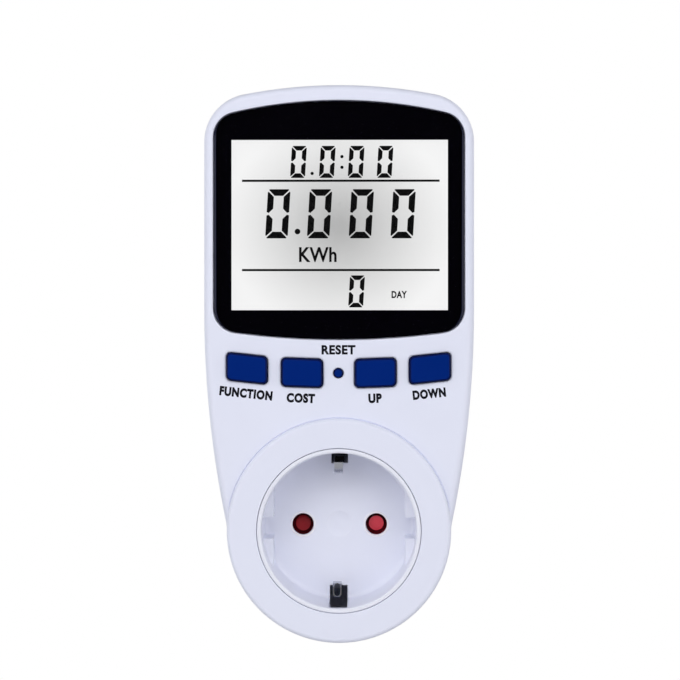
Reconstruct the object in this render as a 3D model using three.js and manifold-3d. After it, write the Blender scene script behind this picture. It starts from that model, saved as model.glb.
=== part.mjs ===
// Plug-in power meter: a pass-through mains meter with a display, five keys and a recessed outlet.
// Millimetres. Origin at the centre of the plug's end face. +X is right for a user in front of the
// meter, +Y points into the wall outlet that the plug goes in, and +Z is up.
import * as THREE from 'three';
import { mergeVertices } from 'three/addons/utils/BufferGeometryUtils.js';
import Module from 'manifold-3d';

const wasm = await Module();
wasm.setup();

// ---------------------------------------------------------------- driving dimensions

const gap = 0.3;                 // clearance between neighbouring pieces
const wall = 2;                  // thickness of the moulded shells

// Planes along Y, from the wall outlet to the user
const rearY = -18;               // rear face of the body, round the plug
const seamY = -33;               // joint between the two shells
const frontY = -54;              // front face of the body
const rimY = -55.5;              // front face of the outlet's tower

// Plug, with the pins of the 16 A earthed system
const pinSpacing = 19;
const pinRadius = 2.4;
const pinLength = 19;
const plugRadius = 18.5;
const plugFlat = 16.6;           // half width over the plug's side flats
const plugCavityRadius = 15.5;
const plugCavityHalfWidth = 14.4;
const plugEndWall = 3;
const earthHoleZ = 10;           // hole for an outlet's own earth pin

// Body outline in X and Z, centred on the outlet's axis
const bodyHalfWidth = 33.95;
const bodyTop = 111.8;
const topArcRadius = 126;
const topCornerRadius = 12.2;
const taperArcRadius = 258;
const taperStartZ = 55;
const taperEndZ = 2;
const towerRadius = 28.1;
const frontRound = 2;
const rearRound = 3;
const towerRound = 1.2;

// Recessed outlet
const wellRadius = 19.4;
const wellDepth = 17.5;
const insertRadius = 20.5;
const insertFlangeRadius = 23.4;
const floorThickness = 2;
const pinHoleRadius = 2.75;
const pinHoleDepth = 0.8;        // the floor is thinned from behind round each pin hole
const pinRecessRadius = 4.2;
const earthSlotWidth = 4.3;
const earthSlotInner = 15.8;
const padHalfWidth = 16.8;
const padHeight = 10;
const padGroove = 5.4;
const floorY = rimY + wellDepth;
const floorBackY = floorY + floorThickness;
const shutterPlanes = [floorBackY + 0.3, floorBackY + 2.3];
const coverPlanes = [shutterPlanes[1] + 0.9, shutterPlanes[1] + 1.7];
const carrierPlanes = [coverPlanes[1] + 0.3, -25.2];

// Lens and display
const lensHalfWidth = 31.8;
const lensTop = 107.8;
const lensBottom = 47.7;
const lensTopArcRadius = 118;
const lensBottomArcRadius = 198;
const lensCornerRadius = 6.3;
const lensThickness = 1.4;
const lensFrontY = frontY + 0.1;
const ledgeY = frontY + 1.8;     // shelf in the front shell that carries the lens
const padBackY = frontY + 3.5;   // back of the thickened wall round the display
const windowLeft = -27.05;
const windowRight = 27.35;
const windowLow = 55.2;
const windowHigh = 98;

// Circuit boards
const boardThickness = 1.6;
const displayBoardY = -44.4;     // front face of the display board
const powerBoardY = -26;         // front face of the power board
const displayRearY = displayBoardY + boardThickness;
const seat = 0.2;                // parts stand this far off their board
const powerSeatY = powerBoardY - seat;

// Keys: centre, size and slope of each, on the shallow arc under the display
const keyFrontY = frontY - 1.1;
const keyCorner = 1.1;
const keySlack = 0.25;
const keyFlange = 0.9;
const keys = [
  { name: 'function', x: -23.05, z: 40.6, width: 10.1, height: 6.8, slope: -6.1 },
  { name: 'cost', x: -9.25, z: 39.5, width: 10.2, height: 7, slope: -2 },
  { name: 'up', x: 9.15, z: 39.5, width: 10.2, height: 7, slope: 2 },
  { name: 'down', x: 22.8, z: 40.6, width: 10.2, height: 6.8, slope: 6.1 },
];
const resetKey = { name: 'reset', x: -0.15, z: 39.4, radius: 1.12 };

// Fasteners
const housingBosses = [[-22, 104.4], [22, 104.4], [-27.2, 27], [27.2, 27]];
const displayPosts = [[-26, 49.3], [26, 49.3]];
const powerPosts = [[-24, 37], [24, 37], [-24, 95], [24, 95]];
const carrierPosts = [[0, -9.5], [0, 9.5]];
const insertRibs = [[-21, -8.2], [21, -8.2], [-21, 8.2], [21, 8.2]];

// ---------------------------------------------------------------- solids

// Turns a closed geometry into a solid that can be joined and cut.
function solid(geometry) {
  const bare = geometry.index ? geometry.toNonIndexed() : geometry.clone();
  bare.deleteAttribute('normal');
  bare.deleteAttribute('uv');
  const merged = mergeVertices(bare);
  return new wasm.Manifold(new wasm.Mesh({
    numProp: 3,
    vertProperties: new Float32Array(merged.attributes.position.array),
    triVerts: new Uint32Array(merged.index.array),
  }));
}

// Limits at one side of the middle plane, in rising order; side is +1 or -1.
function span(side, near, far) {
  return side > 0 ? [near, far] : [-far, -near];
}

function union(...pieces) {
  return pieces.reduce((whole, piece) => whole.add(piece));
}

function cut(whole, ...tools) {
  return tools.reduce((rest, tool) => rest.subtract(tool), whole);
}

// A box given by its limits along X, Y and Z.
function block([x0, x1], [y0, y1], [z0, z1]) {
  const geometry = new THREE.BoxGeometry(x1 - x0, y1 - y0, z1 - z0);
  geometry.translate((x0 + x1) / 2, (y0 + y1) / 2, (z0 + z1) / 2);
  return solid(geometry);
}

// A round rod along Y, from one plane to another, at a place in X and Z.
function rod(radius, [y0, y1], [x, z] = [0, 0], sides = 16) {
  const geometry = new THREE.CylinderGeometry(radius, radius, y1 - y0, sides);
  geometry.translate(x, (y0 + y1) / 2, z);
  return solid(geometry);
}

function tube(outer, inner, [y0, y1], place, sides = 16) {
  return rod(outer, [y0, y1], place, sides).subtract(rod(inner, [y0 - 1, y1 + 1], place, sides));
}

// A body turned about the Y axis. The profile lists radius and Y from the front end to the rear.
function turned(profile, sides = 48) {
  const points = profile.map(([radius, y]) => new THREE.Vector2(radius, y));
  return solid(new THREE.LatheGeometry(points, sides));
}

// Points of a quarter-round edge on a turned profile.
function roundCorner([centreR, centreY], radius, fromDegrees, toDegrees, steps = 2) {
  return Array.from({ length: steps + 1 }, (_, i) => {
    const angle = THREE.MathUtils.degToRad(fromDegrees + (toDegrees - fromDegrees) * i / steps);
    return [centreR + radius * Math.cos(angle), centreY + radius * Math.sin(angle)];
  });
}

// Stands an extrusion's outline up in X and Z, with its depth along -Y from the given plane.
function standUp(geometry, backY) {
  geometry.rotateX(Math.PI / 2);
  geometry.translate(0, backY, 0);
  return geometry;
}

// An outline in X and Z, extruded between two planes.
function prism(outline, [y0, y1]) {
  const geometry = new THREE.ExtrudeGeometry(outline, { depth: y1 - y0, bevelEnabled: false });
  return solid(standUp(geometry, y1));
}

// As a prism, with the edge round its front (or its rear) face rounded.
function roundedPrism(outline, [y0, y1], radius, { rear = false, steps = 2 } = {}) {
  const spare = 2 * radius;
  const [low, high] = rear ? [y0 - spare, y1] : [y0, y1 + spare];
  const geometry = new THREE.ExtrudeGeometry(outline, {
    depth: high - low - 2 * radius,
    bevelThickness: radius,
    bevelSize: radius,
    bevelOffset: -radius,
    bevelSegments: steps,
  });
  const far = 200;
  const trim = rear ? [y0 - far, y0] : [y1, y1 + far];
  return solid(standUp(geometry, high - radius)).subtract(block([-far, far], trim, [-far, far]));
}

// Points along an arc, angles in radians.
function arc([x, z], radius, from, to, steps) {
  return Array.from({ length: steps + 1 }, (_, i) => {
    const angle = from + (to - from) * i / steps;
    return new THREE.Vector2(x + radius * Math.cos(angle), z + radius * Math.sin(angle));
  });
}

// A closed outline through stretches of points, without the points that two stretches share.
function outlineOf(...stretches) {
  const points = stretches.flat();
  return new THREE.Shape(points.filter((point, i) => point.distanceTo(points.at(i - 1)) > 0.01));
}

function roundedRect(width, height, radius, steps = 3) {
  const x = width / 2 - radius;
  const z = height / 2 - radius;
  const quarter = Math.PI / 2;
  return outlineOf(
    arc([x, z], radius, 0, quarter, steps),
    arc([-x, z], radius, quarter, 2 * quarter, steps),
    arc([-x, -z], radius, 2 * quarter, 3 * quarter, steps),
    arc([x, -z], radius, 3 * quarter, 4 * quarter, steps),
  );
}

// A flat strip bent in the Y-Z plane: its centre line is thickened and extruded along X.
function bentStrip(centreLine, thickness, width, x = 0) {
  const half = thickness / 2;
  const sides = [half, -half].map((offset) => centreLine.map((point, i) => {
    const before = centreLine[Math.max(i - 1, 0)];
    const after = centreLine[Math.min(i + 1, centreLine.length - 1)];
    const incoming = new THREE.Vector2(point[0] - before[0], point[1] - before[1]).normalize();
    const outgoing = new THREE.Vector2(after[0] - point[0], after[1] - point[1]).normalize();
    const along = incoming.clone().add(outgoing).normalize();
    const stretch = offset / Math.max(along.dot(i ? incoming : outgoing), 0.5);
    return new THREE.Vector2(point[0] - along.y * stretch, point[1] + along.x * stretch);
  }));
  const outline = new THREE.Shape([...sides[0], ...sides[1].reverse()]);
  const geometry = new THREE.ExtrudeGeometry(outline, { depth: width, bevelEnabled: false });
  // The outline's first axis becomes Y, its second Z and its depth X.
  geometry.applyMatrix4(new THREE.Matrix4().set(0, 0, 1, 0, 1, 0, 0, 0, 0, 1, 0, 0, 0, 0, 0, 1));
  geometry.translate(x - width / 2, 0, 0);
  return solid(geometry);
}

// A round insulated wire through the given points.
function wire(points, radius = 1) {
  const section = new THREE.Shape();
  section.absarc(0, 0, radius, 0, 2 * Math.PI);
  const path = new THREE.CatmullRomCurve3(points.map((point) => new THREE.Vector3(...point)));
  return solid(new THREE.ExtrudeGeometry(section, { extrudePath: path, steps: 14, curveSegments: 4 }));
}

function mirrorX(points) {
  return points.map(([x, y, z]) => [-x, y, z]);
}

// ---------------------------------------------------------------- outlines

// The body's outline, moved inwards by inset: arched top, round corners, straight sides that taper
// on a long arc, and a half-round bottom just inside the tower.
function bodyOutline(inset) {
  const cornerX = bodyHalfWidth - topCornerRadius;
  const topCentreZ = bodyTop - topArcRadius;
  const cornerZ = topCentreZ + Math.sqrt((topArcRadius - topCornerRadius) ** 2 - cornerX ** 2);
  const cornerEnd = Math.atan2(cornerZ - topCentreZ, cornerX);
  const taperX = bodyHalfWidth - taperArcRadius;
  const taperAngle = Math.asin((taperStartZ - taperEndZ) / taperArcRadius);
  const bottomStart = THREE.MathUtils.degToRad(3);
  return outlineOf(
    arc([cornerX, cornerZ], topCornerRadius - inset, 0, cornerEnd, 5),
    arc([0, topCentreZ], topArcRadius - inset, cornerEnd, Math.PI - cornerEnd, 6),
    arc([-cornerX, cornerZ], topCornerRadius - inset, Math.PI - cornerEnd, Math.PI, 5),
    arc([-taperX, taperStartZ], taperArcRadius - inset, Math.PI, Math.PI + taperAngle, 4),
    arc([0, 0], towerRadius - 0.15 - inset, Math.PI + bottomStart, 2 * Math.PI - bottomStart, 20),
    arc([taperX, taperStartZ], taperArcRadius - inset, -taperAngle, 0, 4),
  );
}

// The lens's outline, moved inwards by inset: arched top and bottom, straight sides, round corners.
function lensOutline(inset) {
  const cornerX = lensHalfWidth - lensCornerRadius;
  const topCentreZ = lensTop - lensTopArcRadius;
  const bottomCentreZ = lensBottom + lensBottomArcRadius;
  const topReach = lensTopArcRadius - lensCornerRadius;
  const bottomReach = lensBottomArcRadius - lensCornerRadius;
  const topCornerZ = topCentreZ + Math.sqrt(topReach ** 2 - cornerX ** 2);
  const bottomCornerZ = bottomCentreZ - Math.sqrt(bottomReach ** 2 - cornerX ** 2);
  const topEnd = Math.atan2(topCornerZ - topCentreZ, cornerX);
  const bottomEnd = Math.atan2(bottomCentreZ - bottomCornerZ, cornerX);
  const radius = lensCornerRadius - inset;
  return outlineOf(
    arc([cornerX, topCornerZ], radius, 0, topEnd, 4),
    arc([0, topCentreZ], lensTopArcRadius - inset, topEnd, Math.PI - topEnd, 6),
    arc([-cornerX, topCornerZ], radius, Math.PI - topEnd, Math.PI, 4),
    arc([-cornerX, bottomCornerZ], radius, Math.PI, Math.PI + bottomEnd, 4),
    arc([0, bottomCentreZ], lensBottomArcRadius - inset, Math.PI + bottomEnd, 2 * Math.PI - bottomEnd, 4),
    arc([cornerX, bottomCornerZ], radius, -bottomEnd, 0, 4),
  );
}

// A key's block, grown by margin on every side, sheared to follow the arc of keys.
function keyPrism(key, margin, planes, round = 0) {
  const outline = roundedRect(key.width + 2 * margin, key.height + 2 * margin, keyCorner + margin / 2);
  const upright = round ? roundedPrism(outline, planes, round) : prism(outline, planes);
  const shear = Math.tan(THREE.MathUtils.degToRad(key.slope));
  // Column-major: z grows by shear for each millimetre along X, then the key moves to its place.
  return upright.transform([1, 0, shear, 0, 0, 1, 0, 0, 0, 0, 1, 0, key.x, 0, key.z, 1]);
}

// ---------------------------------------------------------------- shells

function frontHousing() {
  const behindSeam = seamY + 1;
  const towerEdge = roundCorner([towerRadius - towerRound, rimY + towerRound], towerRound, -90, 0);
  const tower = turned([[0, rimY], ...towerEdge, [towerRadius, seamY - 0.1], [0, seamY - 0.1]]);
  const skin = union(roundedPrism(bodyOutline(0), [frontY, seamY - 0.1], frontRound), tower);
  const hollow = union(
    prism(bodyOutline(wall), [frontY + wall, behindSeam]),
    rod(towerRadius - wall, [rimY + wall, behindSeam], [0, 0], 48),
  );
  const lip = prism(bodyOutline(wall / 2 + 0.1), [seamY - 3, seamY + 1.2])
    .subtract(prism(bodyOutline(wall), [seamY - 4, seamY + 2]));
  const tubePlanes = [rimY + wall - 0.1, rimY + 14.5];
  const wellTube = tube(insertRadius + wall, insertRadius + gap, tubePlanes, [0, 0], 48);
  const displayWall = prism(lensOutline(-1.5), [frontY + wall - 0.1, padBackY]);
  const bosses = housingBosses.map((place) => rod(3.1, [frontY + wall - 0.1, seamY - 0.1], place, 12));
  const posts = displayPosts.map((place) => rod(2.4, [padBackY - 0.1, displayBoardY - gap], place, 12));

  const openings = [
    rod(insertRadius + gap, [rimY - 1, rimY + wall + 0.2], [0, 0], 48),
    prism(lensOutline(0), [frontY - 1, ledgeY]),
    block([-28.2, 28.2], [frontY, padBackY + 1], [windowLow - 1.3, windowHigh + 1.3]),
    ...keys.map((key) => keyPrism(key, keySlack, [frontY - 1, frontY + wall + 1])),
    rod(resetKey.radius + keySlack, [frontY - 1, frontY + wall + 1], [resetKey.x, resetKey.z]),
    ...housingBosses.map((place) => rod(1.6, [seamY - 13, seamY + 1], place, 8)),
    ...displayPosts.map((place) => rod(1.3, [displayBoardY - 4.5, displayBoardY], place, 8)),
  ];
  return cut(union(skin.subtract(hollow), lip, wellTube, displayWall, ...bosses, ...posts), ...openings);
}

function plugBody() {
  const edge = roundCorner([plugRadius - 1, -1], 1, 0, 90);
  const outside = turned([[0, rearY - 1], [plugRadius, rearY - 1], ...edge, [0, 0]]);
  const beyond = plugRadius + 1;
  const flatHalfHeight = 14;
  const flats = [-1, 1].map((side) => (
    block(span(side, plugFlat, beyond), [rearY, 1], [-flatHalfHeight, flatHalfHeight])
  ));
  const grooves = [-1, 1].map((side) => (
    block(span(side, plugFlat - 1, beyond), [rearY + 2, 1], [-padGroove / 2, padGroove / 2])
  ));
  const earthRecesses = [-1, 1].map((side) => block([-3, 3], [rearY, 1], span(side, plugFlat, beyond)));
  return cut(outside, ...flats, ...grooves, ...earthRecesses);
}

function rearHousing() {
  const beyondSeam = seamY - 1;
  const skin = roundedPrism(bodyOutline(0), [seamY + 0.1, rearY], rearRound, { rear: true });
  const hollow = roundedPrism(bodyOutline(wall), [beyondSeam, rearY - wall], rearRound / 2, { rear: true });
  const lipGroove = prism(bodyOutline(wall / 2 - 0.2), [seamY - 1, seamY + 1.5])
    .subtract(prism(bodyOutline(wall + gap), [seamY - 2, seamY + 2]));
  const plugHollow = rod(plugCavityRadius, [rearY - wall - 1, -plugEndWall], [0, 0], 32)
    .intersect(block([-plugCavityHalfWidth, plugCavityHalfWidth], [rearY - 5, 0], [-20, 20]));
  const bosses = housingBosses.map((place) => rod(4.3, [seamY + 0.1, rearY - wall + 0.1], place, 16));
  const posts = powerPosts.map((place) => union(
    rod(2.4, [powerBoardY + boardThickness + 0.2, rearY - wall + 0.1], place, 8),
    rod(1.1, [powerBoardY - 1, rearY - wall + 0.1], place, 8),
  ));
  const ribs = insertRibs.map((place) => rod(1.5, [floorY - 0.4, rearY - wall + 0.1], place, 8));
  const openings = [
    ...housingBosses.map((place) => rod(3, [-26, rearY + 1], place)),
    ...housingBosses.map((place) => rod(1.6, [seamY - 1, -25], place, 8)),
    ...[-1, 1].map((side) => rod(pinRadius + gap, [-plugEndWall - 1, 1], [side * pinSpacing / 2, 0])),
    rod(2.6, [-plugEndWall - 1, 1], [0, earthHoleZ]),
    ...[-1, 1].map((side) => block([-2.8, 2.8], [rearY - wall - 1, rearY + 0.1], span(side, 16.5, 18.1))),
  ];
  const shell = cut(union(skin, plugBody()), hollow, plugHollow);
  return cut(union(shell, ...bosses, ...posts, ...ribs), lipGroove, ...openings);
}

// The outlet's cup, with guide pads at its sides and slots for the earth clips above and below.
function socketInsert() {
  const flangeY = floorY - 2.7;
  const cup = turned([
    [0, floorY], [wellRadius - 1.2, floorY], ...roundCorner([wellRadius - 1.2, floorY - 1.2], 1.2, 90, 0),
    [wellRadius, rimY + 0.3], [wellRadius + 0.3, rimY], [insertRadius, rimY],
    [insertRadius, flangeY], [insertFlangeRadius, flangeY], [insertFlangeRadius, flangeY + 2],
    [insertRadius, flangeY + 2], [insertRadius, floorBackY], [0, floorBackY],
  ]);
  const pads = rod(wellRadius + 0.3, [floorY - padHeight, floorY + 0.2], [0, 0], 48)
    .subtract(block([-padHalfWidth, padHalfWidth], [rimY, floorBackY], [-30, 30]))
    .subtract(block([-30, 30], [rimY, floorBackY], [-padGroove / 2, padGroove / 2]));
  const pivot = rod(1.8, [floorBackY - 0.1, shutterPlanes[1] + 0.7], [0, 0]);
  const posts = carrierPosts.map((place) => rod(1.5, [floorBackY - 0.1, carrierPlanes[1] + 0.3], place, 12));
  const slots = [-1, 1].map((side) => {
    const reach = span(side, earthSlotInner, insertRadius + 1);
    return block([-earthSlotWidth / 2, earthSlotWidth / 2], [rimY + 2.5, floorBackY + 1], reach);
  });
  const pinHoles = [-1, 1].map((side) => union(
    rod(pinHoleRadius, [floorY - 1, floorBackY], [side * pinSpacing / 2, 0], 24),
    rod(pinRecessRadius, [floorY + pinHoleDepth, floorBackY + 1], [side * pinSpacing / 2, 0]),
  ));
  const slotRoom = [-1, 1].map((side) => {
    const reach = span(side, insertRadius, insertFlangeRadius + 1);
    return block([-earthSlotWidth / 2, earthSlotWidth / 2], [flangeY - 1, floorBackY], reach);
  });
  return cut(union(cup, pads, pivot, ...posts), ...slots, ...slotRoom, ...pinHoles);
}

// ---------------------------------------------------------------- display

function displayLens() {
  return prism(lensOutline(0.2), [lensFrontY, lensFrontY + lensThickness]);
}

function lensMask() {
  const y = lensFrontY + lensThickness;
  const window = block([windowLeft, windowRight], [y - 1, y + 1], [windowLow, windowHigh]);
  return prism(lensOutline(0.2), [y + 0.05, y + 0.25]).subtract(window);
}

const glassY = -49.3;
const glassHalfWidth = 28.8;
const glassLow = 53.4;
const glassHigh = 99.4;
const rearGlassHigh = 96.6;

// Two bonded sheets of glass; the front one is taller and carries the contacts.
function lcdPanel() {
  return union(
    block([-glassHalfWidth, glassHalfWidth], [glassY, glassY + 1.1], [glassLow, glassHigh]),
    block([-glassHalfWidth, glassHalfWidth], [glassY + 1, glassY + 2.2], [glassLow, rearGlassHigh]),
  );
}

function lcdFrame() {
  const outside = block([-30.2, 30.2], [padBackY + 0.2, displayBoardY - 0.2], [52.3, 100.5]);
  const pocket = block([-29.1, 29.1], [glassY - 0.2, displayBoardY + 1], [53.1, 99.7]);
  const window = block([-28, 28], [padBackY - 1, glassY], [54.2, 99]);
  return cut(outside, pocket, window);
}

function backlightPanel() {
  return block([-28.6, 28.6], [glassY + 2.4, displayBoardY - gap], [53.6, 96.4]);
}

function zebraStrip() {
  return block([-27, 27], [glassY + 1.3, displayBoardY - 0.2], [97, 99]);
}

// ---------------------------------------------------------------- boards and what they carry

function displayBoard() {
  const board = block([-29.5, 29.5], [displayBoardY, displayBoardY + boardThickness], [32.6, 101]);
  const holes = displayPosts.map((place) => rod(1.3, [displayBoardY - 1, displayBoardY + 3], place, 8));
  return cut(board, ...holes);
}

function powerBoard() {
  const board = block([-28.5, 28.5], [powerBoardY, powerBoardY + boardThickness], [33, 99]);
  const holes = powerPosts.map((place) => rod(1.4, [powerBoardY - 1, powerBoardY + 3], place, 8));
  return cut(board, ...holes);
}

// A flat chip with a row of leads above and below, on the front (-1) or the rear (+1) of a board.
function flatChip([x, z], width, height, leads, boardY, side) {
  const pitch = 1.27;
  const leadReach = 1;
  const bodyPlanes = span(side, seat + 0.1, 1.8).map((y) => boardY + y);
  const leadPlanes = span(side, seat, seat + 0.4).map((y) => boardY + y);
  const body = block([x - width / 2, x + width / 2], bodyPlanes, [z - height / 2, z + height / 2]);
  const rows = Array.from({ length: leads }, (_, i) => {
    const leadX = x + (i - (leads - 1) / 2) * pitch;
    const limits = [z - height / 2 - leadReach, z + height / 2 + leadReach];
    return block([leadX - 0.2, leadX + 0.2], leadPlanes, limits);
  });
  return union(body, ...rows);
}

function controllerChip() {
  return flatChip([0, 80], 10, 10, 7, displayRearY, 1);
}

function meteringChip() {
  return flatChip([-5, 58], 10, 4, 7, powerBoardY, -1);
}

function crystal() {
  const radius = 1.5;
  const geometry = new THREE.CylinderGeometry(radius, radius, 8, 16);
  geometry.rotateX(Math.PI / 2);
  geometry.translate(14, displayRearY + seat + radius, 80);
  return solid(geometry);
}

function x2Capacitor() {
  const outline = roundedRect(18, 13, 1);
  const height = 12;
  const upright = roundedPrism(outline, [powerSeatY - height, powerSeatY], 0.6, { steps: 1 });
  return upright.translate([-18, 0, 84.5]);
}

function electrolyticCapacitor() {
  const radius = 5;
  const top = powerSeatY - 11.8;
  const ringY = top + 10;
  return turned([
    [0, top], [radius - 0.4, top], [radius, top + 0.5],
    [radius, ringY - 0.4], [radius - 0.3, ringY], [radius, ringY + 0.4],
    [radius, powerSeatY], [0, powerSeatY],
  ], 20).translate([2, 0, 85]);
}

function varistor() {
  const radius = 5;
  const centreY = powerBoardY - 6.5;
  const disc = new THREE.CylinderGeometry(radius, radius, 4, 24);
  disc.rotateZ(Math.PI / 2);
  disc.translate(22, centreY, 78);
  const leads = [[21.2, 75.5], [22.8, 80.5]].map((place) => rod(0.4, [centreY + 1.5, powerSeatY], place, 8));
  return union(solid(disc), ...leads);
}

// A bridge of resistance metal that carries the whole load current.
function shuntResistor() {
  const rise = 4.5;
  const thickness = 0.8;
  const [left, right] = [-22, -12];
  return cut(
    block([left, right], [powerSeatY - rise, powerSeatY], [40, 43]),
    block([left + thickness, right - thickness], [powerSeatY - rise + thickness, powerSeatY + 1], [39, 44]),
  );
}

function bridgeRectifier() {
  return block([11, 19], [powerSeatY - 3.2, powerSeatY], [87, 93.5]);
}

function boardLinkHeader() {
  const pitch = 2.54;
  const pinHalf = 0.32;
  const z = 67.25;
  const shroudTopY = powerSeatY - 8.5;
  const shroud = block([-8, 8], [shroudTopY, powerSeatY], [z - 1.25, z + 1.25]);
  const pins = Array.from({ length: 6 }, (_, i) => {
    const x = (i - 2.5) * pitch;
    const pinPlanes = [displayRearY + seat, shroudTopY + 0.7];
    return block([x - pinHalf, x + pinHalf], pinPlanes, [z - pinHalf, z + pinHalf]);
  });
  return union(shroud, ...pins);
}

// Three button cells in a shrink sleeve, lying on the board on two tabs.
function backupBattery() {
  const radius = 5.8;
  const length = 18;
  const [x, z] = [12, 48];
  const centreY = powerBoardY - 7;
  const cells = new THREE.CylinderGeometry(radius, radius, length, 24);
  cells.rotateZ(Math.PI / 2);
  cells.translate(x, centreY, z);
  const tabs = [-7.5, 7.5].map((offset) => (
    block([x + offset - 0.4, x + offset + 0.4], [centreY + 3, powerSeatY], [z - 1.5, z + 1.5])
  ));
  return union(solid(cells), ...tabs);
}

// ---------------------------------------------------------------- plug and outlet contacts

function plugPin(side) {
  const tipRound = 1.4;
  const tip = roundCorner([pinRadius - tipRound, pinLength - tipRound], tipRound, 0, 90, 3);
  const flangeY = -plugEndWall - 0.2;
  const innerEnd = -13;
  const innerRadius = 1.6;
  const flangeRadius = 4;
  return turned([
    [0, innerEnd], [innerRadius, innerEnd], [innerRadius, flangeY - 2],
    [flangeRadius, flangeY - 2], [flangeRadius, flangeY], [pinRadius, flangeY], ...tip, [0, pinLength],
  ], 20).translate([side * pinSpacing / 2, 0, 0]);
}

function pinRetainer() {
  const outline = roundedRect(27.6, 9.6, 3);
  const holes = [-1, 1].map((side) => rod(1.9, [-9, -5], [side * pinSpacing / 2, 0], 16));
  return cut(prism(outline, [-8.5, -5.5]), ...holes);
}

// One bent strap: its two legs are the plug's earth strips, its back joins the outlet's earth clips.
function earthStrap() {
  const legZ = 17.3;
  const backY = -23.8;
  const half = [[-1.5, 17.2], [-2.5, legZ], [-9, legZ + 0.5], [-15, legZ], [backY, legZ]];
  const otherHalf = half.map(([y, z]) => [y, -z]).reverse();
  return bentStrip([...half, ...otherHalf], 0.8, 5);
}

function earthPinReceptacle() {
  return tube(3.2, 2.6, [-23.1, -plugEndWall - gap], [0, earthHoleZ]);
}

// A rolled sleeve, open along its top, with a tail for the wire.
function socketContact(side) {
  const slit = THREE.MathUtils.degToRad(30);
  const start = Math.PI / 2 + slit;
  const end = 2.5 * Math.PI - slit;
  const outer = 3.2;
  const inner = 2.6;
  const section = outlineOf(arc([0, 0], outer, start, end, 14), arc([0, 0], inner, end, start, 14));
  const sleeve = prism(section, [carrierPlanes[0], carrierPlanes[1] - 0.2]);
  const tail = block([-1.2, 1.2], [-27, -22.5], [-outer + 0.01, -inner - 0.02]);
  return union(sleeve, tail).translate([side * pinSpacing / 2, 0, 0]);
}

function contactCarrier() {
  const through = [carrierPlanes[0] - 1, carrierPlanes[1] + 1];
  const wells = [-1, 1].map((side) => rod(3.5, through, [side * pinSpacing / 2, 0]));
  const postHoles = carrierPosts.map((place) => rod(1.8, through, place, 12));
  const middle = rod(4, through);
  return cut(block([-14.5, 14.5], carrierPlanes, [-11.5, 11.5]), ...wells, ...postHoles, middle);
}

// A springy clip that bows into the well, lightly bent back at its free end.
function socketEarthClip(side, x) {
  const line = [[-25, 16.5], [-40.4, 16.5], [-43, 15], [-46, 13.9], [-47.7, 13.8], [-49.2, 14.5], [-51, 17]];
  return bentStrip(line.map(([y, z]) => [y, z * side]), 0.5, 2.2, x);
}

// ---------------------------------------------------------------- safety shutter

// Two blades on a hub. The blades close both pin holes until two pins push together and turn it.
function safetyShutter() {
  const reach = 13.2;
  const bladeHalfWidth = 3.35;
  const sweep = Math.asin(bladeHalfWidth / reach);
  const blade = outlineOf(
    arc([0, 0], reach, -sweep, sweep, 4),
    arc([0, 0], reach, Math.PI - sweep, Math.PI + sweep, 4),
  );
  // Each blade's front slopes across it, so that a pin pushing straight in turns the shutter.
  const rampTilt = 0.19;
  const ramps = [-1, 1].map((side) => {
    const wedge = new THREE.BoxGeometry(9.5, 2, 9);
    wedge.translate(0, -1, 0);
    wedge.rotateX(side * rampTilt);
    wedge.translate(side * pinSpacing / 2, shutterPlanes[0] + 0.65, 0);
    return solid(wedge);
  });
  const hub = rod(5, shutterPlanes);
  const peg = rod(0.6, [shutterPlanes[1] - 0.1, shutterPlanes[1] + 0.6], [-6.5, 0], 8);
  const bearing = rod(1.8 + gap, [floorBackY, floorBackY + 3], [0, 0], 16);
  return cut(union(cut(prism(blade, shutterPlanes), ...ramps), hub, peg), bearing);
}

// A light torsion spring round the pivot; one leg leans on a post and the other on the shutter's peg.
function shutterSpring() {
  const y = (shutterPlanes[1] + coverPlanes[0]) / 2;
  const coil = new THREE.TorusGeometry(2.9, 0.25, 6, 20);
  coil.rotateX(Math.PI / 2);
  coil.translate(0, y, 0);
  const leg = (x, z, length, turn) => {
    const geometry = new THREE.CylinderGeometry(0.2, 0.2, length, 6);
    geometry.rotateZ(Math.PI / 2);
    geometry.rotateY(turn);
    geometry.translate(x, y, z);
    return solid(geometry);
  };
  const pegLeg = leg(-4.6, -1.3, 4.4, 0);
  const postLeg = leg(2.2, 5.9, 8.2, Math.PI / 2);
  return union(solid(coil), pegLeg, postLeg);
}

function shutterCover() {
  const through = [coverPlanes[0] - 1, coverPlanes[1] + 1];
  const pinHoles = [-1, 1].map((side) => rod(3.1, through, [side * pinSpacing / 2, 0]));
  const postHoles = carrierPosts.map((place) => rod(1.8, through, place, 12));
  return cut(block([-14.5, 14.5], coverPlanes, [-11.5, 11.5]), ...pinHoles, ...postHoles);
}

// ---------------------------------------------------------------- keys and switches

const switchFrontY = displayBoardY - 3.6;
const plungerFrontY = switchFrontY - 1.2;
const stemRadius = 1.5;

function keyCap(key) {
  const flangeFrontY = frontY + wall + gap;
  const stem = rod(stemRadius, [flangeFrontY, plungerFrontY - 0.2], [key.x, key.z], 12);
  return union(
    keyPrism(key, 0, [keyFrontY, flangeFrontY + 0.5], 0.5),
    keyPrism(key, keyFlange, [flangeFrontY, flangeFrontY + 1]),
    stem,
  );
}

function resetCap() {
  const flangeFrontY = frontY + wall + gap;
  return turned([
    [0, frontY - 0.5], [resetKey.radius - 0.3, frontY - 0.5], [resetKey.radius, frontY - 0.2],
    [resetKey.radius, flangeFrontY], [2.4, flangeFrontY], [2.4, flangeFrontY + 1],
    [stemRadius, flangeFrontY + 1], [stemRadius, plungerFrontY - 0.2], [0, plungerFrontY - 0.2],
  ], 20).translate([resetKey.x, 0, resetKey.z]);
}

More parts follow.
